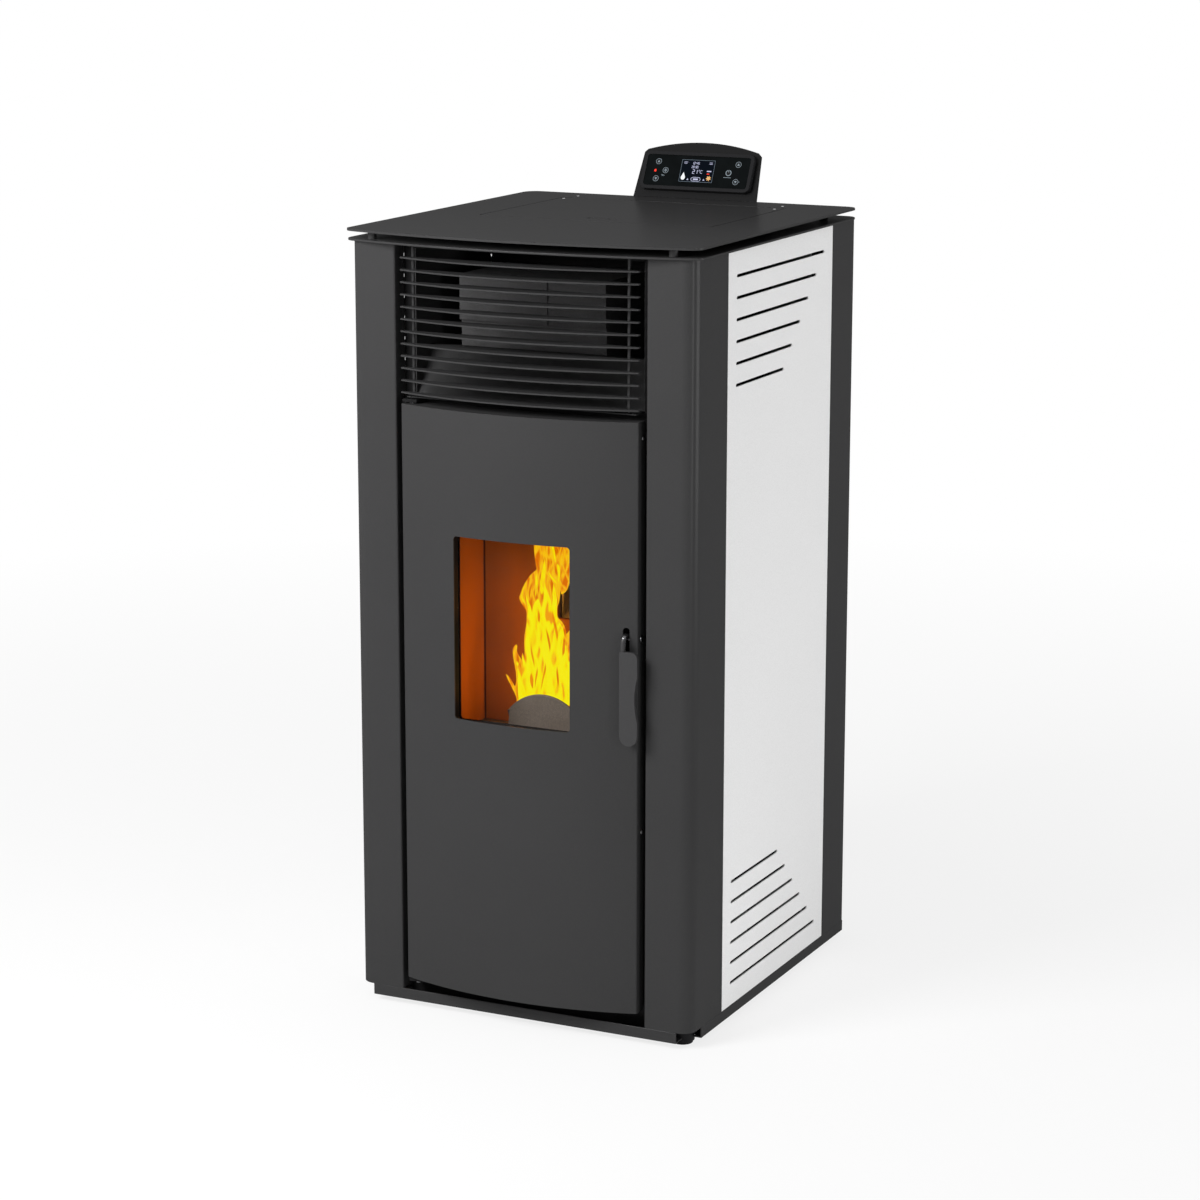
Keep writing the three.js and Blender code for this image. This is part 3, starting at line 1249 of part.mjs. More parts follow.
// ---------------------------------------------------------------- pellet feed
function addFeed() {
  const mouth = [-hopperHalf, hopperHalf, hopperFront, hopperRear];
  const outlet = [-outletHalf, outletHalf, outletY - outletHalf, outletY + outletHalf];
  const w = hopperWall;
  const rim = upperPlateBottom - fit;
  const flangeTop = caseTop - fit;
  const hopper = cut(
    join(
      box(...mouth, hopperTaperTop, rim),
      taperedBlock(outlet, hopperOutletZ, mouth, hopperTaperTop),
      box(...inset(mouth, -hopperFlange), flangeTop - flangeThickness, flangeTop)),
    box(...inset(mouth, w), hopperTaperTop, rim + 1),
    taperedBlock(inset(outlet, w), hopperOutletZ - 1, inset(mouth, w), hopperTaperTop + 0.5));
  add('hopper', hopper, zinc());

  // the auger's own frame: its axis is local +Z, rising towards the front
  const feed = new THREE.Group();
  feed.position.set(0, augerStartY, augerStartZ);
  feed.rotation.x = rad(90 - augerTilt);
  stove.add(feed);
  feed.updateMatrixWorld(true);
  const placed = (geometry) => geometry.applyMatrix4(feed.matrixWorld);

  const along = augerLength - chuteEndInset;
  const topY = augerStartY - Math.cos(rad(augerTilt)) * along;
  const topZ = augerStartZ + Math.sin(rad(augerTilt)) * along;
  const chute = (wall, start) => prismX([
    v2(start, chuteBottom - wall), v2(topY + chuteReach + wall, topZ - chuteTopDrop),
    v2(topY + chuteReach + wall, topZ + chuteTopRise), v2(topY - chuteFrontReach, topZ + chuteTopRise),
    v2(start, chuteBottom + chuteHeight + wall),
  ], chuteInset - chuteHalf - wall, chuteHalf - chuteInset + wall);
  const neckLow = augerStartZ + Math.tan(rad(augerTilt)) * (augerStartY - outletY);
  const [ox0, ox1, oy0, oy1] = outlet;
  const neck = (wall, top) => box(ox0 + neckInset - wall, ox1 - neckInset + wall,
    oy0 + neckEndInset - wall, oy1 - neckEndInset + wall, neckLow, top);
  const seat = hopperOutletZ - fit;
  const tube = cut(
    join(placed(barZ(0, 0, augerTubeRadius, 0, augerLength, ring)), neck(neckWall, seat),
      box(...outlet, seat - flangeThickness, seat), chute(chuteWall, ductFront)),
    placed(barZ(0, 0, augerTubeRadius - augerTubeWall, augerEndWall, augerLength - augerEndWall, ring)),
    placed(barZ(0, 0, augerShaft + fit, -1, augerEndWall + 1)),
    neck(0, hopperOutletZ + 1), chute(0, ductFront - 1));
  add('auger_tube', tube, zinc());

  // screw: one helical flight on a shaft
  const steps = flightSteps * flightTurns;
  const r0 = augerShaft - flightRoot;
  const section = (a, z) => [
    [r0, z], [flightRadius, z], [flightRadius, z + flightThickness], [r0, z + flightThickness],
  ].map(([r, h]) => [r * Math.cos(a), r * Math.sin(a), h]);
  const points = [];
  const faces = [];
  for (let i = 0; i <= steps; i += 1) {
    const turns = i / flightSteps;
    points.push(...section(2 * Math.PI * turns, flightStart + flightPitch * turns).flat());
    if (i > 0) {
      const p = 4 * (i - 1);
      for (let k = 0; k < 4; k += 1) {
        const m = (k + 1) % 4;
        faces.push(p + k, p + 4 + k, p + m, p + m, p + 4 + k, p + 4 + m);
      }
    }
  }
  const last = 4 * steps;
  faces.push(0, 1, 2, 0, 2, 3, last, last + 2, last + 1, last, last + 3, last + 2);
  const flight = new THREE.BufferGeometry();
  flight.setAttribute('position', new THREE.Float32BufferAttribute(points, 3));
  flight.setIndex(faces);
  const screw = join(flight, barZ(0, 0, augerShaft, -shaftTail, augerLength - 2 * augerEndWall, smallRing));
  add('auger_screw', screw, steel(), feed);

  const gearboxLow = -gearboxDepth - fit;
  const gearbox = cut(
    join(box(-gearboxHalf, gearboxHalf, -gearboxDrop, gearboxRise, gearboxLow, -fit),
      barZ(0, gearmotorOffset, gearmotorRadius, gearboxLow - gearmotorLength, gearboxLow + 1, ring)),
    barZ(0, 0, augerShaft + fit, -shaftTail - fit, 1));
  add('auger_motor', gearbox, black(), feed);
}

// ---------------------------------------------------------------- room-air blower
function addBlower() {
  const w = blowerWall;
  const cz = trayFloor + blowerRadius;
  const x0 = blowerLeft;
  const x1 = blowerLeft + blowerLength;
  const mouthY = blowerY - blowerThroat;
  const roofZ = cz + blowerRoofRise;
  const curve = (r, from, to, steps) => arc(blowerY, cz, r, rad(from), rad(to), steps);
  // scroll that opens forward; its inlet is the gap at the rear
  const scroll = [
    ...curve(blowerRadius, blowerInletLow, -90, 5), v2(mouthY, trayFloor), v2(mouthY, trayFloor + w),
    ...curve(blowerRadius - w, -90, blowerInletLow, 5)];
  const roof = [
    ...curve(blowerRadius, blowerInletHigh, blowerRoofAngle, 5), v2(mouthY, roofZ), v2(mouthY, roofZ - w),
    ...curve(blowerRadius - w, blowerRoofAngle, blowerInletHigh, 5)];
  const cheek = [
    ...curve(blowerRadius, -90, blowerRoofAngle, 12), v2(mouthY, roofZ), v2(mouthY, trayFloor)];
  const bearing = [circle(blowerY, cz, shaftRadius + fit, smallRing)];
  add('blower_housing', join(
    prismX(scroll, x0, x1), prismX(roof, x0, x1), prismX(cheek, x0, x0 + w, bearing),
    prismX(cheek, x1 - w, x1, bearing)), zinc());

  const a = x0 + w + drumEndGap;
  const b = x1 - w - drumEndGap;
  const parts = [
    barX(0, 0, drumRadius, a, a + drumRing, drumBlades), barX(0, 0, drumRadius, b - drumRing, b, drumBlades),
    barX(0, 0, shaftRadius, x0 - drumShaftLeft, x1 + drumShaftRight, smallRing)];
  for (let i = 0; i < drumBlades; i += 1) {
    const blade = box(a + 1, b - 1, drumRadius - 1 - drumBladeDepth, drumRadius - 1,
      -drumBladeThickness / 2, drumBladeThickness / 2);
    blade.rotateX(2 * Math.PI * i / drumBlades);
    parts.push(blade);
  }
  const drum = add('blower_drum', join(...parts), steel());
  drum.position.set(0, blowerY, cz);
}

// ---------------------------------------------------------------- electrics
function addInlet() {
  const z0 = inletZ - inletHeight / 2;
  const z1 = inletZ + inletHeight / 2;
  const x0 = inletX - inletWidth / 2;
  const x1 = inletX + inletWidth / 2;
  const flangeFront = backPanelFront + sheet;
  const flangeRear = rearFace - fit;
  const lip = inletFlange + fit;
  const rockerZ = inletZ + rockerRise;
  const socket = roundedRect(inletX - socketHalf, inletX + socketHalf, z0 + socketMargin,
    z0 + socketMargin + socketHeight, 3, 3);
  const pinRear = flangeRear - pinSetback;
  const pins = [[-pinSpread, pinRow], [pinSpread, pinRow], [0, earthRow]].map(([x, up]) => (
    box(inletX + x - pinHalf, inletX + x + pinHalf, pinRear - pinLength, pinRear,
      z0 + up - pinHeight / 2, z0 + up + pinHeight / 2)));
  const well = box(
    inletX - rockerWidth / 2 - fit, inletX + rockerWidth / 2 + fit, flangeRear - rockerWell, flangeRear + 1,
    rockerZ - rockerHeight / 2 - fit, rockerZ + rockerHeight / 2 + fit);
  const shell = cut(
    join(box(x0, x1, flangeFront, flangeRear, z0, z1),
      box(x0 + lip, x1 - lip, flangeFront - inletBodyDepth, flangeFront + sheet / 2, z0 + lip, z1 - lip)),
    prismY(socket, flangeRear - socketDepth, flangeRear + 1), well);
  add('power_inlet', join(shell, ...pins), black());

  // paddle with two lobes that meet in a shallow valley over its pivot
  const lobe = rockerHeight / 2 - 0.6;
  const face = rockerPivotDepth - 1.4;
  const rocker = prismX([
    v2(-4, -3), v2(-4, 3), v2(face, lobe), v2(face + rockerProud, lobe - 0.3), v2(face - 0.2, 0),
    v2(face, -lobe),
  ], -rockerWidth / 2, rockerWidth / 2);
  const paddle = add('rocker_switch', rocker, black());
  paddle.position.set(inletX, flangeRear - rockerPivotDepth, rockerZ);
  paddle.rotation.x = rad(rockerThrow / 2);
}

function addControlBoard() {
  const rear = backPanelFront - boardStandoff;
  const front = rear - boardThickness;
  const left = boardX - boardWidth / 2;
  const bottom = boardZ - boardHeight / 2;
  const top = bottom + boardHeight;
  const stands = [];
  for (const x of [left + standInset, left + boardWidth - standInset]) {
    for (const z of [bottom + standInset, top - standInset]) {
      stands.push(barY(x, z, standRadius, rear - 1, backPanelFront - fit, 8));
    }
  }
  const parts = [
    [boardX - transformerSize, bottom + 2 * standInset, transformerSize, transformerSize, transformerHeight],
    [boardX + 2 * standInset, boardZ, relaySize, relaySize, relayHeight],
    [left + standInset, top - terminalLength - 2 * standInset, terminalWidth, terminalLength, terminalHeight],
  ].map(([x, z, width, height, depth]) => box(x, x + width, front - depth, front + 1, z, z + height));
  const board = box(left, left + boardWidth, front, rear, bottom, top);
  add('control_board', join(board, ...stands, ...parts), paint(0x1f5a3a, 0.6, 0.1));
}

addBase();
addPosts();
addSidePanels();
addBack();
addFrontFrame();
addTop();
addControls();
addGrille();
addDoor();
addHandle();
addFirebox();
addSmokePath();
addFeed();
addBlower();
addInlet();
addControlBoard();

// the outline's middle in depth becomes the origin
const foremost = frontFace - upperPlateReach;
const rearmost = rearFace + flueReach;
stove.position.y = -(foremost + rearmost) / 2;

export default stove;
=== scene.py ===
"""Looks of a free-standing pellet stove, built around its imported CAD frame.

Metres, +Z up, front towards -Y; sizes written in millimetres say so.
"""
import json
import math
import random

import bmesh
import bpy
from mathutils import Matrix, Vector
from mathutils.geometry import delaunay_2d_cdt


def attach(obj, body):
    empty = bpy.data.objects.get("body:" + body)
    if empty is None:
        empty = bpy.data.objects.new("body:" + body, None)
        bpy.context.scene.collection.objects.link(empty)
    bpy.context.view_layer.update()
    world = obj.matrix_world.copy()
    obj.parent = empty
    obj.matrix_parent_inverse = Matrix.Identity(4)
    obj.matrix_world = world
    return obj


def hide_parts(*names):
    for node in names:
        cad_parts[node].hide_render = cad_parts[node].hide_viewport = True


MM = 0.001

# camera, solved from the photograph's edges; angles in radians, lens and sensor in mm
CAMERA_PLACE = (2.036, -4.264, 1.6255)
CAMERA_YAW = 0.449
CAMERA_PITCH = -0.223
CAMERA_ROLL = -0.001
CAMERA_LENS = 100.46
SENSOR = 36.0

# studio: name, place, target, (width, height) in m and power in W of each lamp
LAMPS = (
    ("key", (-0.75, -1.75, 1.7), (0, 0, 0.75), (0.9, 0.9), 50),
    ("corner", (3.1, -1.6, 0.7), (0.25, -0.28, 0.55), (0.2, 1.2), 14),
    ("side", (3.6, 0.9, 0.35), (0, 0, 0.15), (1.8, 1.2), 45),
    ("over", (0.2, 0.3, 4.2), (0, 0, 0.8), (2.4, 2.4), 7),
)
AMBIENT = 0.36                  # world's strength for everything but the plain backdrop
FLOOR_SIZE = 40.0
FLOOR_GREY = 0.90
FLOOR_FADE = (0.7, 3.2)         # from the middle, m: between these it turns into the backdrop
FLOOR_WHITE = 0.80              # share of backdrop white close to the stove

# fire: name, height in m and power in W of each lamp
FIRE_LAMPS = (("ember_light", 0.455, 0.74), ("flame_light", 0.58, 0.40))
FIRE_LAMP_PLACE = (-0.035, -0.17)
FIRE_LAMP_COLOR = (1.0, 0.33, 0.03)
FIRE_LAMP_RADIUS = 0.04
FLAME_LOW, FLAME_HIGH = 0.43, 0.66      # heights between which a flame cools, m

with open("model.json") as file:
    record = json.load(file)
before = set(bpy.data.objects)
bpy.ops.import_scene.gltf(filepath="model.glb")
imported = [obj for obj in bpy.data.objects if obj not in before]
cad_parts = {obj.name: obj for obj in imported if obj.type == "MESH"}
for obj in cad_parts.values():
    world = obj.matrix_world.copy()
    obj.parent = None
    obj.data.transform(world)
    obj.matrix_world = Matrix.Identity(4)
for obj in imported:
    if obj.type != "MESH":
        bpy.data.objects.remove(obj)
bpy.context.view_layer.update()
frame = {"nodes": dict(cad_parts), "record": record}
nodes = frame["nodes"]
body_of_node = {
    node: body for body, members in frame["record"]["behaviour"]["bodies"].items() for node in members}
slot_of = {entry["node"]: entry["material_slot"] for entry in frame["record"]["subparts"]}


# ---------------------------------------------------------------- shader helper
class Shader:
    """A material with one Principled shader and short calls that add and link nodes."""

    def __init__(self, name, color, roughness, metallic=0.0, **settings):
        self.material = bpy.data.materials.new(name)
        self.material.use_nodes = True
        self.tree = self.material.node_tree
        self.surface = self.tree.nodes["Principled BSDF"]
        self.set("Base Color", (*color, 1.0))
        self.set("Roughness", roughness)
        self.set("Metallic", metallic)
        for socket, value in settings.items():
            self.set(socket.replace("_", " ").title().replace("Ior", "IOR"), value)

    def set(self, socket, value):
        self.surface.inputs[socket].default_value = value

    def link(self, output, node, socket):
        self.tree.links.new(output, node.inputs[socket])

    def node(self, kind, inputs=None, **attributes):
        """A new node; an input is a value or the output that feeds it."""
        made = self.tree.nodes.new("ShaderNode" + kind)
        for name, value in attributes.items():
            setattr(made, name, value)
        for name, value in (inputs or {}).items():
            if isinstance(value, bpy.types.NodeSocket):
                self.link(value, made, name)
            else:
                made.inputs[name].default_value = value
        return made

    def place(self, stretch=(1, 1, 1), turn=(0, 0, 0)):
        """Object coordinates in metres, turned and then stretched."""
        coordinates = self.node("TexCoord").outputs["Object"]
        turned = self.node(
            "VectorRotate", {"Vector": coordinates, "Rotation": turn}, rotation_type="EULER_XYZ")
        place = {"Vector": turned.outputs["Vector"], "Scale": stretch}
        return self.node("Mapping", place).outputs["Vector"]

    def noise(self, scale, detail=2.0, stretch=(1, 1, 1), distortion=0.0):
        made = self.node("TexNoise", {
            "Vector": self.place(stretch), "Scale": scale, "Detail": detail, "Distortion": distortion})
        return made.outputs["Fac"]

    def ramp(self, factor, *stops):
        """Colour ramp with (position, colour or grey) stops."""
        made = self.node("ValToRGB", {"Fac": factor})
        elements = made.color_ramp.elements
        while len(elements) < len(stops):
            elements.new(0.5)
        for element, (position, color) in zip(elements, stops):
            element.position = position
            element.color = (color, color, color, 1) if isinstance(color, (int, float)) else (*color, 1)
        return made.outputs["Color"]

    def mix(self, factor, a, b):
        made = self.node("Mix", data_type="RGBA")
        for socket, value in (("Factor", factor), ("A", a), ("B", b)):
            target = [s for s in made.inputs if s.name == socket and s.enabled][0]
            if isinstance(value, bpy.types.NodeSocket):
                self.tree.links.new(value, target)
            else:
                target.default_value = value if socket == "Factor" else (*value, 1)
        return [s for s in made.outputs if s.enabled][0]

    def color(self, output):
        self.link(output, self.surface, "Base Color")

    def roughness(self, output):
        self.link(output, self.surface, "Roughness")

    def bump(self, *heights):
        """Chained bumps of (height, strength, distance)."""
        normal = None
        for height, strength, distance in heights:
            inputs = {"Height": height, "Strength": strength, "Distance": distance}
            if normal:
                inputs["Normal"] = normal
            normal = self.node("Bump", inputs).outputs["Normal"]
        self.link(normal, self.surface, "Normal")


def scaled(color, amount):
    """A darker or lighter colour."""
    return tuple(min(1.0, channel * amount) for channel in color)


# ---------------------------------------------------------------- materials
PAINT_GRAIN = 0.0011            # size of the orange peel, m


def powder_coat(name, color, roughness=0.55, coat=0.07, variation=0.05):
    """Sprayed and baked powder paint: fine orange peel, faint clouds in tone and sheen."""
    shader = Shader(
        name, color, roughness, specular_ior_level=0.0,
        coat_weight=coat, coat_roughness=0.26, coat_ior=2.0)
    clouds = shader.noise(5.0, 3.0)
    fine = shader.noise(1.0 / PAINT_GRAIN, 3.0)
    toned = shader.ramp(
        clouds, (0.3, scaled(color, 1 - variation)), (0.7, scaled(color, 1 + variation)))
    specks = shader.ramp(fine, (0.35, scaled(color, 0.90)), (0.65, scaled(color, 1.10)))
    shader.color(shader.mix(0.45, toned, specks))
    shader.roughness(shader.ramp(fine, (0.3, roughness - 0.05), (0.7, roughness + 0.07)))
    shader.bump((fine, 0.08, 0.0003), (shader.noise(160.0, 2.0), 0.03, 0.0006))
    return shader.material


def brushed_metal(name, color, roughness=0.3):
    """Bare metal with fine lines drawn along Z."""
    shader = Shader(name, color, roughness, metallic=1.0)
    lines = shader.noise(1400.0, 3.0, (1, 1, 0.03))
    smears = shader.noise(24.0, 3.0)
    base = shader.ramp(smears, (0.3, scaled(color, 0.85)), (0.7, scaled(color, 1.08)))
    drawn = shader.ramp(lines, (0.35, scaled(color, 0.78)), (0.65, scaled(color, 1.15)))
    shader.color(shader.mix(0.4, base, drawn))
    shader.roughness(shader.ramp(lines, (0.3, roughness - 0.08), (0.7, roughness + 0.12)))
    shader.bump((lines, 0.08, 0.0002))
    return shader.material


def zinc_sheet(name):
    """Galvanised sheet with crystal spangle."""
    color = (0.46, 0.48, 0.50)
    shader = Shader(name, color, 0.42, metallic=0.9)
    spangle = shader.node("TexVoronoi", {"Vector": shader.place(), "Scale": 150.0}).outputs["Color"]
    grey = shader.node("RGBToBW", {"Color": spangle}).outputs["Val"]
    shader.color(shader.ramp(grey, (0.2, scaled(color, 0.92)), (0.8, scaled(color, 1.06))))
    shader.roughness(shader.ramp(grey, (0.2, 0.42), (0.8, 0.50)))
    shader.bump((shader.noise(500.0, 3.0), 0.06, 0.0003))
    return shader.material


def cast_iron(name, color=(0.065, 0.058, 0.052), soot=0.5):
    """Sand-cast iron, rough and a little sooty; also other rough, burnt surfaces."""
    shader = Shader(name, color, 0.75, metallic=0.25)
    pits = shader.noise(420.0, 6.0)
    patches = shader.noise(14.0, 5.0, distortion=0.6)
    base = shader.ramp(patches, (0.35, scaled(color, 1 - soot)), (0.7, scaled(color, 1.25)))
    pitted = shader.ramp(pits, (0.4, scaled(color, 0.6)), (0.62, scaled(color, 1.5)))
    shader.color(shader.mix(0.35, base, pitted))
    shader.roughness(shader.ramp(pits, (0.3, 0.62), (0.7, 0.9)))
    shader.bump((pits, 0.5, 0.0006), (patches, 0.2, 0.001))
    return shader.material


def lining_board(name):
    """Pressed vermiculite-like board, flaky and darker where soot collects."""
    color = (0.28, 0.105, 0.010)
    shader = Shader(name, color, 0.9)
    flakes = shader.node(
        "TexVoronoi", {"Vector": shader.place((1, 1, 1.6)), "Scale": 260.0}).outputs["Distance"]
    soot = shader.noise(9.0, 4.0, (1, 1, 0.5), 0.4)
    base = shader.ramp(soot, (0.3, scaled(color, 0.62)), (0.65, color))
    flaked = shader.ramp(flakes, (0.1, scaled(color, 1.3)), (0.6, scaled(color, 0.6)))
    shader.color(shader.mix(0.12, base, flaked))
    shader.bump((flakes, 0.12, 0.0004), (soot, 0.1, 0.002))
    return shader.material


def moulded_plastic(name):
    """Fine spark-eroded mould texture."""
    color, roughness = (0.012, 0.012, 0.013), 0.5
    shader = Shader(name, color, roughness, specular_ior_level=0.06)
    texture = shader.noise(2600.0, 2.0)
    shader.color(shader.ramp(texture, (0.3, scaled(color, 0.8)), (0.7, scaled(color, 1.25))))
    shader.roughness(shader.ramp(texture, (0.3, roughness - 0.06), (0.7, roughness + 0.08)))
    shader.bump((texture, 0.10, 0.0001))
    return shader.material


def display_window(name):
    """Back-painted gloss panel."""
    color = (0.0030, 0.0040, 0.0042)
    shader = Shader(name, color, 0.10, specular_ior_level=0.03)
    haze = shader.noise(40.0, 3.0)
    shader.color(shader.ramp(haze, (0.3, scaled(color, 0.8)), (0.7, scaled(color, 1.3))))
    shader.roughness(shader.ramp(haze, (0.3, 0.08), (0.7, 0.15)))
    return shader.material


def fire_glass(name):
    """Clear ceramic glass with an uneven breath of soot."""
    color = (0.10, 0.07, 0.05)
    shader = Shader(name, color, 0.04, alpha=0.05, specular_ior_level=0.04)
    haze = shader.noise(7.0, 4.0, distortion=0.8)
    shader.color(shader.ramp(haze, (0.35, color), (0.75, (0.05, 0.03, 0.02))))
    shader.roughness(shader.ramp(haze, (0.3, 0.03), (0.7, 0.08)))
    return shader.material


def rope(name):
    """Braided glass-fibre rope."""
    color = (0.04, 0.04, 0.042)
    shader = Shader(name, color, 0.95)
    braid = shader.node(
        "TexWave", {"Vector": shader.place(), "Scale": 160.0, "Distortion": 3.0},
        bands_direction="DIAGONAL").outputs["Fac"]
    shader.color(shader.ramp(braid, (0.2, scaled(color, 0.5)), (0.8, scaled(color, 1.6))))
    shader.bump((braid, 0.6, 0.001))
    return shader.material


def circuit_board(name):
    """Lacquered board with pale tracks."""
    color = (0.02, 0.11, 0.045)
    shader = Shader(name, color, 0.35)
    tracks = shader.node("TexBrick", {
        "Vector": shader.place(), "Scale": 90.0, "Mortar": (0.05, 0.2, 0.08, 1), "Mortar Size": 0.01,
        "Color1": (*color, 1), "Color2": (*scaled(color, 0.8), 1)})
    shader.color(tracks.outputs["Color"])
    shader.roughness(shader.ramp(shader.noise(300.0), (0.3, 0.3), (0.7, 0.5)))
    return shader.material


def glow(name, color, strength=1.0):
    """Lit display element."""
    shader = Shader(name, scaled(color, 0.1), 0.8, specular_ior_level=0.0, emission_strength=strength)
    flicker = shader.noise(900.0)
    lit = shader.ramp(flicker, (0.3, scaled(color, 0.85)), (0.7, color))
    shader.link(lit, shader.surface, "Emission Color")
    return shader.material


def flame_material(name, colors, warmth, cooling=0.0):
    """Crossing filaments, from the first colour where cool to the last where hot."""
    shader = Shader(name, (0, 0, 0), 1.0, specular_ior_level=0.0, emission_strength=1.0)
    threads = []
    for lean in (0.24, -0.20):
        upright = shader.place((1.0, 1.0, 0.20), (0, lean, 0))
        thread = shader.node("TexNoise", {
            "Vector": upright, "Scale": 105.0, "Detail": 1.0, "Offset": 1.0, "Distortion": 0.5,
        }, noise_type="RIDGED_MULTIFRACTAL", normalize=False)
        threads.append(thread.outputs["Fac"])
    crossing = shader.node("Math", {0: threads[0], 1: threads[1]}, operation="MAXIMUM").outputs["Value"]
    height = shader.node("SeparateXYZ", {"Vector": shader.place()}).outputs["Z"]
    warm = shader.node("MapRange", {
        "Value": height, "From Min": FLAME_LOW, "From Max": FLAME_HIGH,
        "To Min": warmth, "To Max": warmth - cooling}).outputs["Result"]
    heat = shader.node("Math", {0: crossing, 1: 1.5, 2: warm}, operation="MULTIPLY_ADD")
    stops = [(i / (len(colors) - 1), color) for i, color in enumerate(colors)]
    shader.link(shader.ramp(heat.outputs["Value"], *stops), shader.surface, "Emission Color")
    return shader.material


CHARCOAL = (0.0365, 0.0362, 0.0368)
materials = {  # the record's slots, then finishes of single pieces
    "charcoal_paint": powder_coat("charcoal_powder_coat", CHARCOAL),
    "white_paint": powder_coat("white_powder_coat", (0.82, 0.82, 0.82), 0.5, 0.05, 0.01),
    "black_paint": powder_coat("black_heatproof_paint", (0.014, 0.0138, 0.0142), 0.6, 0.03, 0.15),
    "bright_steel": brushed_metal("bright_steel", (0.50, 0.50, 0.51)),
    "zinc_sheet": zinc_sheet("zinc_sheet"),
    "cast_iron": cast_iron("cast_iron"),
    "lining_board": lining_board("lining_board"),
    "black_plastic": moulded_plastic("black_plastic"),
    "display_glass": display_window("display_window"),
    "fire_glass": fire_glass("fire_glass"),
    "gasket_rope": rope("gasket_rope"),
    "circuit_board": circuit_board("circuit_board"),
    "dark_steel": brushed_metal("dark_steel", (0.16, 0.16, 0.165), 0.24),
    "grip_paint": powder_coat("grip_powder_coat", (0.046, 0.0455, 0.0465), 0.5, 0.05),
    "shield_iron": cast_iron("shield_iron", (0.150, 0.122, 0.098), 0.12),
    "bracket_paint": powder_coat("bracket_powder_coat", (0.0135, 0.0134, 0.0138), 0.55, 0.04),
    "exchanger_steel": cast_iron("exchanger_steel", (0.060, 0.059, 0.060), 0.15),
    "screw_steel": brushed_metal("screw_steel", (0.42, 0.42, 0.43), 0.35),
    "pellet_wood": cast_iron("pellet_wood", (0.10, 0.055, 0.03), 0.4),
}
# flame colours, the coolest first
AMBER = (0.76, 0.16, 0.0)
ORANGE = (0.95, 0.36, 0.006)
GOLD = (1.0, 0.58, 0.006)
YELLOW = (1.0, 0.84, 0.0)
PALE = (1.0, 0.89, 0.005)
flame_body = flame_material("flame_body", [AMBER, ORANGE, GOLD], -0.9)
flame_core = flame_material("flame_core", [ORANGE, GOLD, YELLOW, YELLOW, PALE], -0.38, 0.5)
flame_line = flame_material("flame_line", [GOLD, YELLOW], -0.6)
flame_gap = flame_material("flame_gap", [AMBER, (0.90, 0.28, 0.003)], -0.6)
# painted shadow for the gaps between the linings
liner_shadow = cast_iron("liner_shadow", (0.030, 0.008, 0.003), 0.2)
ember_glow = glow("ember_glow", (1.0, 0.22, 0.02), 1.3)
lcd_back = glow("lcd_back", (0.004, 0.006, 0.010), 1.0)
lcd_line = glow("lcd_line", (0.16, 0.20, 0.24), 1.0)
lcd_digit = glow("lcd_digit", (0.62, 0.64, 0.86), 0.9)
lcd_white = glow("lcd_white", (0.92, 0.94, 0.96), 1.0)
lcd_sun = glow("lcd_sun", (0.86, 0.50, 0.20), 1.0)
key_print = glow("key_print", (0.30, 0.36, 0.40), 0.9)
red_led = glow("red_led", (1.0, 0.05, 0.03), 1.6)


# ---------------------------------------------------------------- mesh helpers
EDGE_ANGLE = math.radians(32)   # what is sharper is an edge, and is rounded
CURVE_ANGLE = math.radians(75)  # what is sharper after the rounding is shaded sharp
FACET_ANGLE = math.radians(0.4)         # facets that bend less than this are one face
MERGE = 2e-6                    # vertices closer than this are one, m


def mesh_from(name, work):
    """A mesh with the content of a bmesh, which is freed."""
    mesh = bpy.data.meshes.new(name)
    work.to_mesh(mesh)
    work.free()
    return mesh


def make_piece(name, mesh, material, body):
    """An object with the mesh, riding on a body, with the given finish."""
    piece = bpy.data.objects.new(name, mesh)
    bpy.context.scene.collection.objects.link(piece)
    if not piece.data.materials:
        piece.data.materials.append(material)
    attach(piece, body)
    return piece


def finish_edges(piece, width):
    """Rounds the sharp edges, then shades flat faces flat and curved ones smooth."""
    if width > 0:
        bevel = piece.modifiers.new("edges", "BEVEL")
        bevel.width = width
        bevel.segments = 2
        bevel.limit_method = "ANGLE"
        bevel.angle_limit = EDGE_ANGLE
        bevel.use_clamp_overlap = True
    weighted = piece.modifiers.new("normals", "WEIGHTED_NORMAL")
    weighted.keep_sharp = True
    bpy.context.view_layer.update()
    for polygon in piece.data.polygons:
        polygon.use_smooth = True
    piece.data.set_sharp_from_angle(angle=CURVE_ANGLE if width > 0 else EDGE_ANGLE)
    rounded = piece.evaluated_get(bpy.context.evaluated_depsgraph_get())
    mesh = bpy.data.meshes.new_from_object(rounded)
    old = piece.data
    piece.modifiers.clear()
    piece.data = mesh
    bpy.data.meshes.remove(old)
    return piece


def refined(node, width, material):
    """A copy of a CAD node with its facets merged and its edges rounded, which stands for that node."""
    mesh = nodes[node].data.copy()
    work = bmesh.new()
    work.from_mesh(mesh)
    bmesh.ops.remove_doubles(work, verts=work.verts, dist=MERGE)
    bmesh.ops.dissolve_limit(
        work, angle_limit=FACET_ANGLE, verts=work.verts, edges=work.edges,
        use_dissolve_boundaries=False)
    work.to_mesh(mesh)
    work.free()
    mesh.materials.clear()
    piece = make_piece(node + "_finished", mesh, material, body_of_node[node])
    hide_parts(node)
    return finish_edges(piece, width)


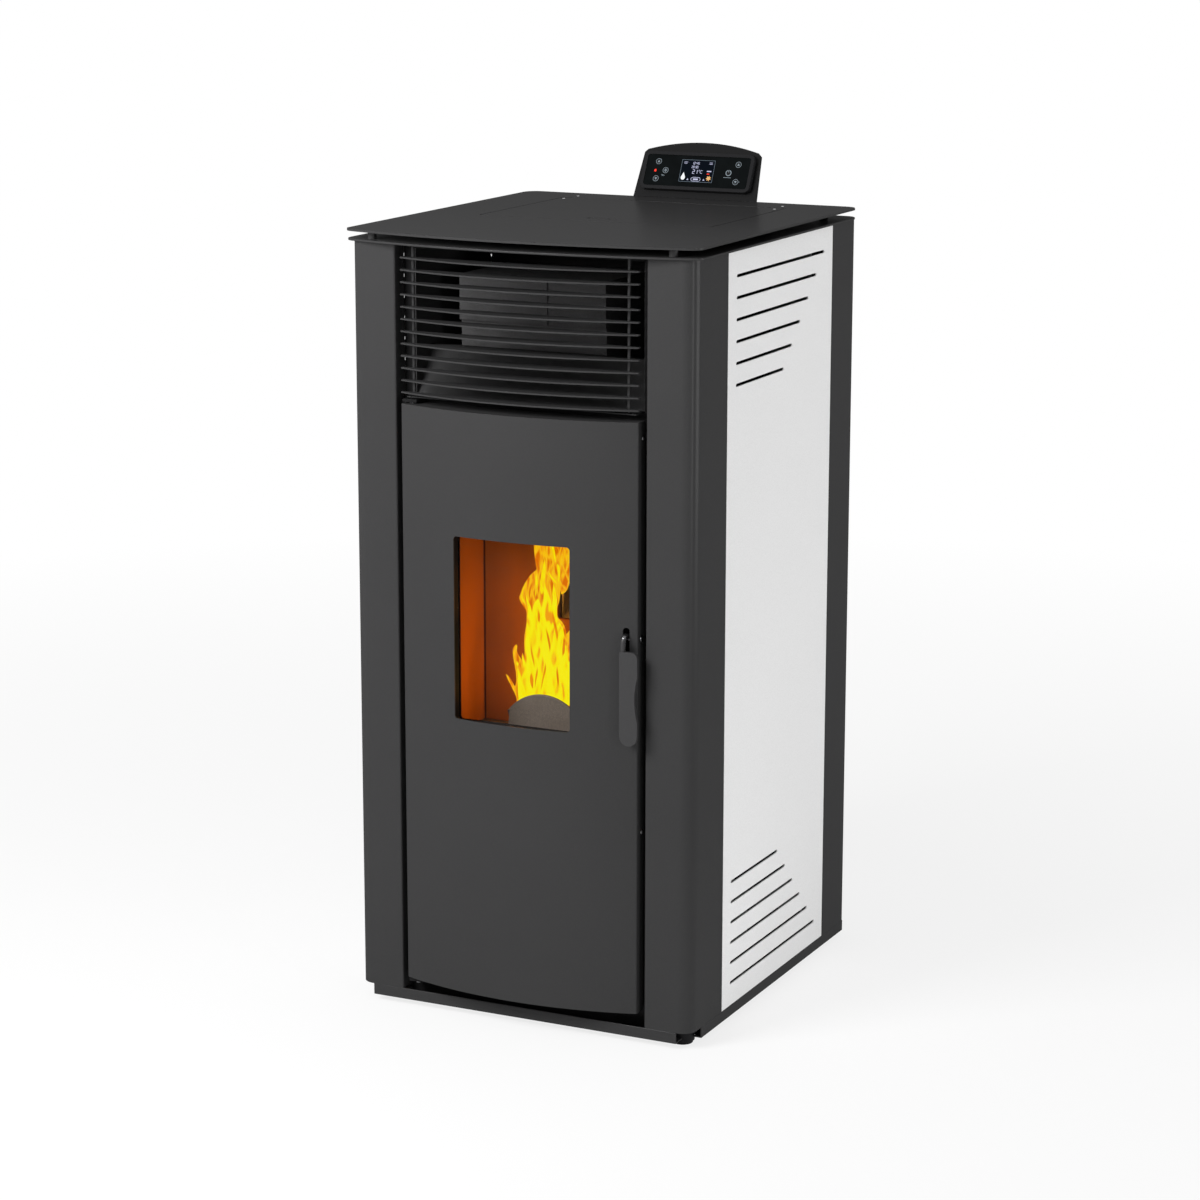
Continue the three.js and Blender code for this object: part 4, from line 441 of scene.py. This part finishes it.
EDGE = {  # rounding of each slot's edges, mm
    "charcoal_paint": 0.6, "white_paint": 0.4, "black_paint": 0.5, "bright_steel": 0.4,
    "zinc_sheet": 0.0, "cast_iron": 0.8, "lining_board": 0.8, "black_plastic": 0.5,
    "display_glass": 0.25, "fire_glass": 0.5, "gasket_rope": 1.5, "circuit_board": 0.0,
}
OWN_EDGE = {  # rounding of single pieces' edges, mm
    "base_tray": 1.3, "display_housing": 1.6, "front_grille": 0.5, "door_cladding": 0.8,
    "upper_top_plate": 0.7, "lower_top_plate": 0.7, "door_handle": 0.9, "handle_pin": 0.5,
    "pot_shield": 1.2, "control_bracket": 0.5,
}
OWN_PAINT = {  # finishes that differ from the slot's
    "pot_shield": "shield_iron", "control_bracket": "bracket_paint", "exchanger_box": "exchanger_steel",
    "hinge_pin_bottom": "dark_steel", "hinge_pin_top": "dark_steel", "handle_pin": "dark_steel",
    # painted shade: the hopper takes the black paint so that it shows dark through the grille
    "door_handle": "dark_steel", "hopper": "black_paint",
}
finished = {}
for node in sorted(nodes):
    width = OWN_EDGE.get(node, EDGE[slot_of[node]]) * MM
    finished[node] = refined(node, width, materials[OWN_PAINT.get(node, slot_of[node])])

# the handle's flat grip is painted like the case; its bent rod, hub and tongue stay bare
GRIP_BACK = -0.3059             # y of the grip's rear face, m
handle = finished["door_handle"]
handle.data.materials.append(materials["grip_paint"])
for polygon in handle.data.polygons:
    if max(handle.data.vertices[i].co.y for i in polygon.vertices) < GRIP_BACK:
        polygon.material_index = 1


# ---------------------------------------------------------------- fire
def sheet_piece(name, outlines, depth, material):
    """Upright sheets in the firebox, facing the front, from outlines of (x, z) points in mm."""
    points, faces = [], []
    for outline in outlines:
        corners = [Vector(point[:2]) * MM for point in outline]
        rim = [(i, (i + 1) % len(corners)) for i in range(len(corners))]
        places, _, triangles = delaunay_2d_cdt(corners, rim, [], 1, 1e-7)[:3]
        faces += [[len(points) + i for i in triangle] for triangle in triangles]
        points += [(x, depth * MM, z) for x, z in places]
    mesh = bpy.data.meshes.new(name)
    mesh.from_pydata(points, [], faces)
    make_piece(name, mesh, material, "root")


def smooth_outline(points, steps=5):
    """Closed smooth curve; a point written with a third value keeps a sharp tip."""
    count = len(points)
    places = [Vector(point[:2]) for point in points]
    slopes = []
    for i, point in enumerate(points):
        before, here, after = places[i - 1], places[i], places[(i + 1) % count]
        reach = (here - before).length + (after - here).length
        slopes.append(Vector((0, 0)) if len(point) > 2 else (after - before) / reach)
    curve = []
    for i in range(count):
        a, b = places[i], places[(i + 1) % count]
        span = (b - a).length
        va, vb = slopes[i] * span, slopes[(i + 1) % count] * span
        for step in range(steps):
            t = step / steps
            curve.append(a * (2 * t ** 3 - 3 * t ** 2 + 1) + va * (t ** 3 - 2 * t ** 2 + t)
                         + b * (3 * t ** 2 - 2 * t ** 3) + vb * (t ** 3 - t ** 2))
    return curve


# flame outlines, (x, z) in mm
FLAME_BODY = [
    (-63.5, 432), (-64.5, 439), (-66.5, 445), (-69, 450), (-71.5, 454), (-74.5, 460), (-78, 465.5),
    (-80, 470), (-81.5, 474, 1), (-77.5, 471.5), (-74, 467.5), (-70.5, 462.5), (-67, 458),
    (-65, 465), (-65, 473), (-66, 481), (-67.5, 489.5), (-69, 496.5), (-70, 504.5), (-70, 511.5),
    (-68, 516), (-64.5, 519, 1), (-63, 516), (-63.5, 510.5), (-61.5, 504.5), (-58.5, 500.5),
    (-56, 497.5), (-56, 502.5), (-55, 507.5, 1), (-53, 503.5), (-52, 500), (-51.5, 510.5),
    (-52, 521.5), (-51.5, 532.5), (-50, 541.5), (-48.5, 552.5), (-48, 562), (-49, 569.5),
    (-53, 575), (-57.5, 581), (-59.5, 586.5), (-57.5, 593.5), (-54.5, 601), (-50, 609.5),
    (-44, 618.5), (-37.5, 625.5), (-32.5, 630), (-33.5, 637.5), (-35, 647.5), (-36, 657.5),
    (-36, 666.5), (-33.5, 674.5), (-29, 685, 1), (-24, 677.5), (-18.5, 688), (-13.5, 698.5, 1),
    (-8, 689), (-0.5, 693.5), (5, 704, 1), (10.5, 690.5), (17, 681), (20, 663.5), (21, 639.5),
    (20, 619.5), (16, 606.5), (11, 600.5), (6.5, 598.5), (5, 603.5), (4.5, 596), (3, 587),
    (0.5, 579.5), (0, 572), (1.5, 564.5), (6, 560.5), (10, 555.5), (13, 549), (14.5, 542.5),
    (16.5, 544.5), (20, 549), (24, 555.5, 1), (24, 545.5), (23, 533), (26.5, 527.5), (32, 524),
    (37.5, 530.5, 1), (37.5, 518.5), (35, 504), (39.5, 500.5), (45, 503), (48, 507.5, 1),
    (48, 493.5), (43.5, 479), (46, 475), (53.5, 480, 1), (51.5, 465.5), (48, 453), (43.5, 442),
]
FLAME_CORE = [
    (-57.5, 434), (-59.5, 443), (-60.5, 452), (-60.5, 464.5), (-60, 474.5), (-61, 482.5),
    (-62.5, 490.5), (-64, 499, 1), (-60, 493.5), (-57, 489), (-54.5, 485.5), (-52.5, 494),
    (-53.5, 502), (-52.5, 507, 1), (-50, 499), (-47, 493.5), (-46.5, 504.5), (-48, 515.5),
    (-48, 527), (-46.5, 537), (-46, 545.5), (-45, 557.5), (-44, 567.5), (-45, 578), (-46.5, 585.5),
    (-47, 593.5, 1), (-43.5, 586), (-40, 578), (-37.5, 570.5), (-35.5, 578.5), (-32, 585),
    (-27.5, 590, 1), (-25, 583.5), (-22.5, 578), (-20, 586), (-19, 596.5), (-20, 606.5),
    (-18.5, 618.5, 1), (-15.5, 607), (-11.5, 597), (-8, 589.5), (-6.5, 581.5), (-5, 589.5),
    (-5.5, 599.5), (-3.5, 614, 1), (-0.5, 602), (2, 590.5), (1.5, 580.5), (1.5, 570), (3, 562.5),
    (7.5, 556.5), (11, 550), (12.5, 541), (11, 531), (12, 521), (15, 527), (18.5, 523.5, 1),
    (18.5, 511.5), (20.5, 503.5), (24, 512), (27, 518.5, 1), (28, 504.5), (27, 492), (33.5, 488.5),
    (37, 495, 1), (38, 481), (37, 469), (42.5, 465.5), (43.5, 469.5, 1), (43.5, 457.5), (40, 445),
]
FLAME_LINES = [
    [(-9.5, 632), (-6.5, 627), (-1.5, 621.5), (3.5, 616), (8, 611.5, 1), (4, 614), (-1.5, 618),
     (-6.5, 623)],
    [(-15.5, 649.5, 1), (-14, 636), (-15, 621.5), (-16.5, 607.5), (-20, 597), (-23, 607),
     (-21.5, 621), (-18.5, 635.5)],
    [(-4, 667.5), (-1.5, 668), (1, 657), (2.5, 643.5, 1), (-0.5, 650.5), (-3, 659)],
    [(4.5, 643.5), (8, 638), (8.5, 626), (5.5, 615.5, 1), (5.5, 625.5), (4.5, 633.5)],
    [(-45.5, 609), (-49.5, 600.5), (-50, 592), (-47.5, 585), (-44, 579.5, 1), (-52, 586),
     (-53, 590.5), (-50.5, 600)],
    [(-28.5, 626), (-26.5, 616.5), (-27, 604.5), (-30, 592, 1), (-30.5, 604), (-30, 616.5)],
]
FLAME_GAPS = [
    [(-33, 614.5, 1), (-36.5, 605.5), (-39, 595), (-38, 587, 1), (-41, 593), (-40, 603),
     (-37, 610)],
    [(-37.5, 482, 1), (-34.5, 474), (-34.5, 466), (-35.5, 459.5), (-39, 467.5), (-39.5, 475.5)],
    [(-27.5, 491, 1), (-27.5, 481), (-30, 470.5), (-31.5, 460, 1), (-31.5, 472), (-30, 482.5)],
    [(-15, 498.5, 1), (-14.5, 488.5), (-18, 475.5), (-21, 463), (-23, 457, 1), (-20, 475.5),
     (-17, 490)],
    [(-4, 574.5, 1), (-0.5, 564.5), (2.5, 553), (5, 541), (3, 532.5, 1), (0.5, 544.5),
     (-2.5, 556.5), (-4.5, 566)],
    [(-25.5, 574, 1), (-23.5, 566.5), (-24.5, 556), (-27, 560), (-27, 568)],
    [(-14, 549, 1), (-9.5, 537.5), (-7, 525.5), (-8, 515.5, 1), (-10.5, 527), (-13, 539)],
    [(3, 496, 1), (5, 486.5), (6, 474), (4.5, 464, 1), (3, 476), (2, 486)],
    [(-38.5, 524.5, 1), (-35.5, 512.5), (-33, 500.5), (-32, 490.5, 1), (-35.5, 500.5), (-38, 512)],
    [(13, 536, 1), (15.5, 528), (15, 517.5), (11.5, 511.5, 1), (11.5, 523.5)],
]


FLAMES = (  # name, y in mm, outlines and material of each sheet, from the back to the front
    ("flame_body", -174, [FLAME_BODY], flame_body),
    ("flame_core", -178, [FLAME_CORE], flame_core),
    ("flame_gaps", -181, FLAME_GAPS, flame_gap),
    ("flame_lines", -182, FLAME_LINES, flame_line),
)

# painted shadow: dark sheets in the gap between the side linings and the back one, mm
SEAM_NEAR, SEAM_FAR = 142.0, 144.9      # from the middle
SEAM_LOW, SEAM_HIGH = 389, 704.5
SEAM_DEPTH = -118.7

# bed of pellets, m
PELLET_COUNT = 150
GLOWING_SHARE = 0.45
PELLET_RADIUS = 0.003
PELLET_LENGTH = (0.009, 0.018)
BED_X = (-0.036, 0.036)
BED_Y = (-0.200, -0.152)
BED_MIDDLE_Y = -0.176
BED_REACH = (0.05, 0.04)        # where the heap would end, from its middle
BED_HEIGHT = 0.026
BED_FLOOR = 0.384
BED_LOOSE = 0.012               # how far a pellet may lie above the heap


# painted shadow: a dark sheet in each corner where a side lining meets the back one
def add_liner_shadow_strips():
    for name, side in (("liner_shadow_strip_left", -1), ("liner_shadow_strip_right", 1)):
        far, near = side * SEAM_FAR, side * SEAM_NEAR
        outline = [(far, SEAM_LOW), (near, SEAM_LOW), (near, SEAM_HIGH), (far, SEAM_HIGH)]
        sheet_piece(name, [outline], SEAM_DEPTH, liner_shadow)


def add_flames():
    for name, depth, outlines, material in FLAMES:
        sheet_piece(name, [smooth_outline(outline) for outline in outlines], depth, material)


def add_pellets():
    """A heap of pellets in the pot, some of them glowing."""
    chance = random.Random(7)
    cold = bmesh.new()
    glowing = bmesh.new()
    for _ in range(PELLET_COUNT):
        target = glowing if chance.random() < GLOWING_SHARE else cold
        made = bmesh.ops.create_cone(
            target, cap_ends=True, segments=7, radius1=PELLET_RADIUS, radius2=PELLET_RADIUS,
            depth=chance.uniform(*PELLET_LENGTH))["verts"]
        x = chance.uniform(*BED_X)
        y = chance.uniform(*BED_Y)
        across, along = x / BED_REACH[0], (y - BED_MIDDLE_Y) / BED_REACH[1]
        heap = BED_HEIGHT * (1 - across ** 2) * (1 - along ** 2)
        heading = Matrix.Rotation(chance.uniform(0, math.pi), 4, "Z")
        tilt = Matrix.Rotation(chance.uniform(1.0, 2.1), 4, "X")
        place = Matrix.Translation((x, y, BED_FLOOR + chance.uniform(0, BED_LOOSE) + heap))
        bmesh.ops.transform(target, matrix=place @ heading @ tilt, verts=made)
    make_piece("pellets", mesh_from("pellets", cold), materials["pellet_wood"], "root")
    make_piece("embers", mesh_from("embers", glowing), ember_glow, "root")


add_liner_shadow_strips()
add_flames()
add_pellets()


# ---------------------------------------------------------------- screw heads
PLATE_SCREWS = ((169, 190), (165, 230))         # (x, y) beside the lid, mirrored to the other side, mm
PLATE_SCREW_SIZE = (2.2, 0.5)                   # radius and height, mm
PLATE_SCREW_LIFT = 0.2                          # of the head's middle, above the plate
DOOR_SCREWS = ((180.2, -278, 849), (180.2, -278, 303))          # on the cladding's right edge
DOOR_SCREW_SIZE = (3.0, 0.8)


def screw_head(name, place, axis, node, size):
    """A low round head on a face of the node, standing along the axis."""
    radius, height = size
    work = bmesh.new()
    bmesh.ops.create_cone(
        work, cap_ends=True, segments=16, radius1=radius * MM, radius2=radius * 0.8 * MM,
        depth=height * MM)
    turn = Vector((0, 0, 1)).rotation_difference(Vector(axis)).to_matrix().to_4x4()
    shift = Matrix.Translation(Vector(place) * MM)
    bmesh.ops.transform(work, matrix=shift @ turn, verts=work.verts)
    mesh = mesh_from(name, work)
    make_piece(name, mesh, materials["screw_steel"], body_of_node[node])


def add_screw_heads():
    plate_top = max(corner[2] for corner in nodes["upper_top_plate"].bound_box) / MM
    for side in (-1, 1):
        for i, (x, y) in enumerate(PLATE_SCREWS):
            place = (side * x, y, plate_top + PLATE_SCREW_LIFT)
            screw_head(f"plate_screw_{side}_{i}", place, (0, 0, 1), "upper_top_plate", PLATE_SCREW_SIZE)
    for i, place in enumerate(DOOR_SCREWS):
        screw_head(f"door_screw_{i}", place, (1, 0, 0), "door_cladding", DOOR_SCREW_SIZE)


add_screw_heads()


# ---------------------------------------------------------------- control panel prints
PANEL_ORIGIN = Vector((0.0055, 0.2728, 1.1083))         # foot of the bracket's front face
PANEL_LEAN = math.radians(25.5)
PANEL_FRONT = 8.5               # window's and keys' face, in front of the bracket, mm

# lit display: half width, lower and upper end up the slope, mm
LCD_HALF, LCD_LOW, LCD_HIGH = 27, 23, 57.5

KEY_ROW = 39.5                  # middle row of keys, up the slope
KEYS = (  # key, x, height over the middle row in mm, sign
    ("key_left_up", -64.5, 13.5, "up"),
    ("key_left_down", -64.5, -13.5, "down"),
    ("key_menu", -51, 0, "menu"),
    ("key_power", 51, 0, "power"),
    ("key_right_up", 64.5, 13.5, "up"),
    ("key_right_down", 64.5, -13.5, "down"),
)
KEY_RING = (4.3, 0.55)          # radius and stroke
POWER_RING = (4.1, 1.1)


def on_panel(x, s, lift=0.0):
    """Point on the leaning panel: x across, s up the slope, lift off the window's face, all in mm."""
    slope = Vector((0, math.sin(PANEL_LEAN), math.cos(PANEL_LEAN)))
    out = Vector((0, -math.cos(PANEL_LEAN), math.sin(PANEL_LEAN)))
    return PANEL_ORIGIN + Vector((x, 0, 0)) * MM + slope * s * MM + out * (PANEL_FRONT + lift) * MM


def panel_print(name, polygons, material, lift=0.12, body="root"):
    """Printed or lit shapes on the window; each polygon is a list of (x, s) points."""
    work = bmesh.new()
    for polygon in polygons:
        face = work.faces.new([work.verts.new(on_panel(x, s, lift)) for x, s in polygon])
        face.normal_update()
        if face.normal.y > 0:
            face.normal_flip()
    make_piece(name, mesh_from(name, work), material, body)


def bar(x0, s0, x1, s1, width):
    """A straight stroke as a quadrilateral."""
    length = math.hypot(x1 - x0, s1 - s0)
    nx, ns = -(s1 - s0) / length * width / 2, (x1 - x0) / length * width / 2
    return [(x0 + nx, s0 + ns), (x0 - nx, s0 - ns), (x1 - nx, s1 - ns), (x1 + nx, s1 + ns)]


def ring_strokes(x, s, radius, width, start=0.0, end=360.0, sides=20):
    """A circular stroke as short quadrilaterals."""
    strokes = []
    for i in range(sides):
        a, b = (math.radians(start + (end - start) * (i + k) / sides) for k in (0, 1))
        inner, outer = radius - width / 2, radius + width / 2
        strokes.append([(x + r * math.cos(t), s + r * math.sin(t)) for r, t in
                        ((inner, a), (outer, a), (outer, b), (inner, b))])
    return strokes


SEGMENTS = {  # seven-segment strokes as (x0, s0, x1, s1) in a cell 1 wide and 2 high
    "a": (0, 2, 1, 2), "b": (1, 2, 1, 1), "c": (1, 1, 1, 0), "d": (0, 0, 1, 0),
    "e": (0, 0, 0, 1), "f": (0, 1, 0, 2), "g": (0, 1, 1, 1),
}
DIGITS = {"0": "abcdef", "1": "bc", "2": "abged", "3": "abgcd", "4": "fgbc", "5": "afgcd"}


def digit_row(text, x, s, height, width=0.55):
    """Seven-segment digits and colons."""
    strokes = []
    cell = height * 0.5
    for sign in text:
        if sign == ":":
            dot = x + cell * 0.2
            strokes += [bar(dot, s + height * f, dot + width, s + height * f, width) for f in (0.3, 0.7)]
            x += cell * 0.75
            continue
        for segment in DIGITS[sign]:
            x0, s0, x1, s1 = SEGMENTS[segment]
            strokes.append(bar(x + x0 * cell, s + s0 * cell, x + x1 * cell, s + s1 * cell, width))
        x += cell * 1.5
    return strokes


def triangle(x, s, size, up=True):
    sign = 1 if up else -1
    return [(x - size, s - sign * size * 0.7), (x + size, s - sign * size * 0.7), (x, s + sign * size)]


def ring_points(x, s, radii, degrees):
    """Points round (x, s) at the angles, the radii taken in turn."""
    return [(x + radii[i % len(radii)][0] * math.cos(math.radians(a)),
             s + radii[i % len(radii)][1] * math.sin(math.radians(a))) for i, a in enumerate(degrees)]


def add_display():
    """Lit display: clock, time, temperature and plain signs."""
    left, right, low, high = -LCD_HALF, LCD_HALF, LCD_LOW, LCD_HIGH
    rim = LCD_HALF - 0.4
    panel_print("lcd_back", [[(left, low), (right, low), (right, high), (left, high)]], lcd_back, 0.06)
    panel_print("lcd_outline", [
        bar(-rim, low, -rim, high, 0.5), bar(rim, low, rim, high, 0.5),
        bar(-rim, low + 0.2, rim, low + 0.2, 0.5),
        bar(-rim, high - 0.2, rim, high - 0.2, 0.5)], lcd_line)
    degree = ring_strokes(3.4, 41.2, 0.8, 0.5, sides=8)
    celsius = ring_strokes(7.2, 39.2, 2.3, 0.7, 45, 315, 10)
    status = [
        bar(-23, 53.8, -17, 53.8, 0.7), bar(-23, 51.8, -18, 51.8, 0.7), bar(18, 53.8, 23, 53.8, 0.7),
        bar(18, 51.8, 23, 51.8, 0.7), bar(16, 40.5, 23, 40.5, 1.8)]
    clock = digit_row("12:45", -9.5, 50.5, 3.6) + digit_row("20:30", -9.5, 44.8, 3.2)
    warmth = digit_row("21", -7, 36.2, 6.0, 0.8) + degree + celsius
    panel_print("lcd_digits", clock + warmth + status, lcd_digit)
    left_end = ring_strokes(-4.5, 27.4, 3.0, 0.7, 90, 270, 8)
    right_end = ring_strokes(4.5, 27.4, 3.0, 0.7, -90, 90, 8)
    panel_print("lcd_badge", left_end + right_end + [
        bar(-4.5, 30.4, 4.5, 30.4, 0.7), bar(-4.5, 24.4, 4.5, 24.4, 0.7), bar(-4, 27.4, 4, 27.4, 2.4),
        triangle(-13, 27, 1.6), triangle(13, 27, 1.6)], lcd_digit, 0.1)
    drop = ring_points(-21, 29.4, [(3.4, 3.6)], range(150, 391, 20)) + [(-21.0, 38.0)]
    panel_print("lcd_drop", [drop], lcd_white)
    star = ring_points(20.5, 29.6, [(2.3, 2.3), (4.6, 4.6)], [i * 180 / 7 for i in range(14)])
    panel_print("lcd_sun", [star], lcd_sun)
    panel_print("lcd_mark", [bar(16.5, 36.4, 20.5, 36.4, 1.1)], red_led)


def add_key_prints():
    """A pale ring round each key's sign; each rides with its key."""
    for key, x, rise, sign in KEYS:
        s = KEY_ROW + rise
        if sign == "power":
            strokes = ring_strokes(x, s, *POWER_RING, 110, 430) + [bar(x, s + 1.2, x, s + 4.6, 0.9)]
        else:
            strokes = ring_strokes(x, s, *KEY_RING)
        if sign == "menu":
            strokes += [triangle(x, s + 1.7, 1.3), triangle(x, s - 1.7, 1.3, False)]
            strokes.append(bar(x - 2.6, s, x + 2.6, s, 0.8))
        elif sign != "power":
            strokes.append(triangle(x, s, 2.1, sign == "up"))
        panel_print(key + "_print", strokes, key_print, body=body_of_node[key])


def add_panel_prints():
    add_display()
    lamp = ring_points(-67.5, 38.6, [(1.7, 2.1)], range(0, 360, 24))
    panel_print("power_lamp", [lamp], red_led)
    add_key_prints()
    panel_print("window_marks", [
        bar(-57, 33.0, -51, 31.2, 0.5), bar(-56, 31.4, -52.5, 30.4, 0.5), bar(44, 32.2, 56, 32.2, 0.7),
        bar(68.5, 26.2, 71, 26.2, 0.6)], key_print)


add_panel_prints()


# ---------------------------------------------------------------- camera, floor and light
def add_camera():
    data = bpy.data.cameras.new("camera")
    data.sensor_width = SENSOR
    data.lens = CAMERA_LENS
    camera = bpy.data.objects.new("camera", data)
    camera.location = CAMERA_PLACE
    camera.rotation_euler = (math.pi / 2 + CAMERA_PITCH, CAMERA_ROLL, CAMERA_YAW)
    bpy.context.scene.collection.objects.link(camera)
    bpy.context.scene.camera = camera


def add_area(name, place, target, size, power):
    """A soft rectangular lamp that faces its target."""
    data = bpy.data.lights.new(name, "AREA")
    data.shape = "RECTANGLE"
    data.size, data.size_y = size
    data.energy = power
    lamp = bpy.data.objects.new(name, data)
    lamp.location = place
    lamp.rotation_euler = (Vector(target) - Vector(place)).to_track_quat("-Z", "Y").to_euler()
    bpy.context.scene.collection.objects.link(lamp)


def backdrop_rays(tree):
    """1 for rays that should find the plain white backdrop."""
    path = tree.nodes.new("ShaderNodeLightPath")
    total = path.outputs["Is Camera Ray"]
    for ray in ("Is Glossy Ray", "Is Transmission Ray"):
        both = tree.nodes.new("ShaderNodeMath")
        both.operation = "MAXIMUM"
        tree.links.new(total, both.inputs[0])
        tree.links.new(path.outputs[ray], both.inputs[1])
        total = both.outputs["Value"]
    return total


def add_world():
    world = bpy.data.worlds.new("studio")
    bpy.context.scene.world = world
    world.use_nodes = True
    tree = world.node_tree
    background = tree.nodes["Background"]
    background.inputs["Color"].default_value = (1, 1, 1, 1)
    strength = tree.nodes.new("ShaderNodeMapRange")
    strength.inputs["To Min"].default_value = AMBIENT
    strength.inputs["To Max"].default_value = 1.0
    tree.links.new(backdrop_rays(tree), strength.inputs["Value"])
    tree.links.new(strength.outputs["Result"], background.inputs["Strength"])


def add_floor():
    """Pale floor that fades into the white backdrop away from the stove and keeps its soft shadow."""
    mesh = bpy.data.meshes.new("floor")
    half = FLOOR_SIZE / 2
    corners = [(-half, -half, 0), (half, -half, 0), (half, half, 0), (-half, half, 0)]
    mesh.from_pydata(corners, [], [(0, 1, 2, 3)])
    floor = bpy.data.objects.new("floor", mesh)
    bpy.context.scene.collection.objects.link(floor)
    material = bpy.data.materials.new("floor")
    material.use_nodes = True
    tree = material.node_tree
    tree.nodes.clear()
    matt = tree.nodes.new("ShaderNodeBsdfDiffuse")
    matt.inputs["Color"].default_value = (FLOOR_GREY, FLOOR_GREY, FLOOR_GREY, 1)
    white = tree.nodes.new("ShaderNodeEmission")
    blend = tree.nodes.new("ShaderNodeMixShader")
    coordinates = tree.nodes.new("ShaderNodeTexCoord")
    distance = tree.nodes.new("ShaderNodeVectorMath")
    distance.operation = "LENGTH"
    lift = tree.nodes.new("ShaderNodeMapRange")
    lift.inputs["From Min"].default_value = FLOOR_FADE[0]
    lift.inputs["From Max"].default_value = FLOOR_FADE[1]
    lift.inputs["To Min"].default_value = FLOOR_WHITE
    share = tree.nodes.new("ShaderNodeMath")
    share.operation = "MULTIPLY"
    output = tree.nodes.new("ShaderNodeOutputMaterial")
    tree.links.new(coordinates.outputs["Object"], distance.inputs[0])
    tree.links.new(distance.outputs["Value"], lift.inputs["Value"])
    tree.links.new(lift.outputs["Result"], share.inputs[0])
    tree.links.new(backdrop_rays(tree), share.inputs[1])
    tree.links.new(share.outputs["Value"], blend.inputs["Fac"])
    tree.links.new(matt.outputs["BSDF"], blend.inputs[1])
    tree.links.new(white.outputs["Emission"], blend.inputs[2])
    tree.links.new(blend.outputs["Shader"], output.inputs["Surface"])
    mesh.materials.append(material)


def add_fire_light():
    for name, z, power in FIRE_LAMPS:
        data = bpy.data.lights.new(name, "POINT")
        data.energy = power
        data.color = FIRE_LAMP_COLOR
        data.shadow_soft_size = FIRE_LAMP_RADIUS
        lamp = bpy.data.objects.new(name, data)
        lamp.location = (*FIRE_LAMP_PLACE, z)
        bpy.context.scene.collection.objects.link(lamp)


add_camera()
add_world()
add_floor()
for lamp in LAMPS:
    add_area(*lamp)
add_fire_light()

bpy.context.scene.view_settings.view_transform = "Standard"
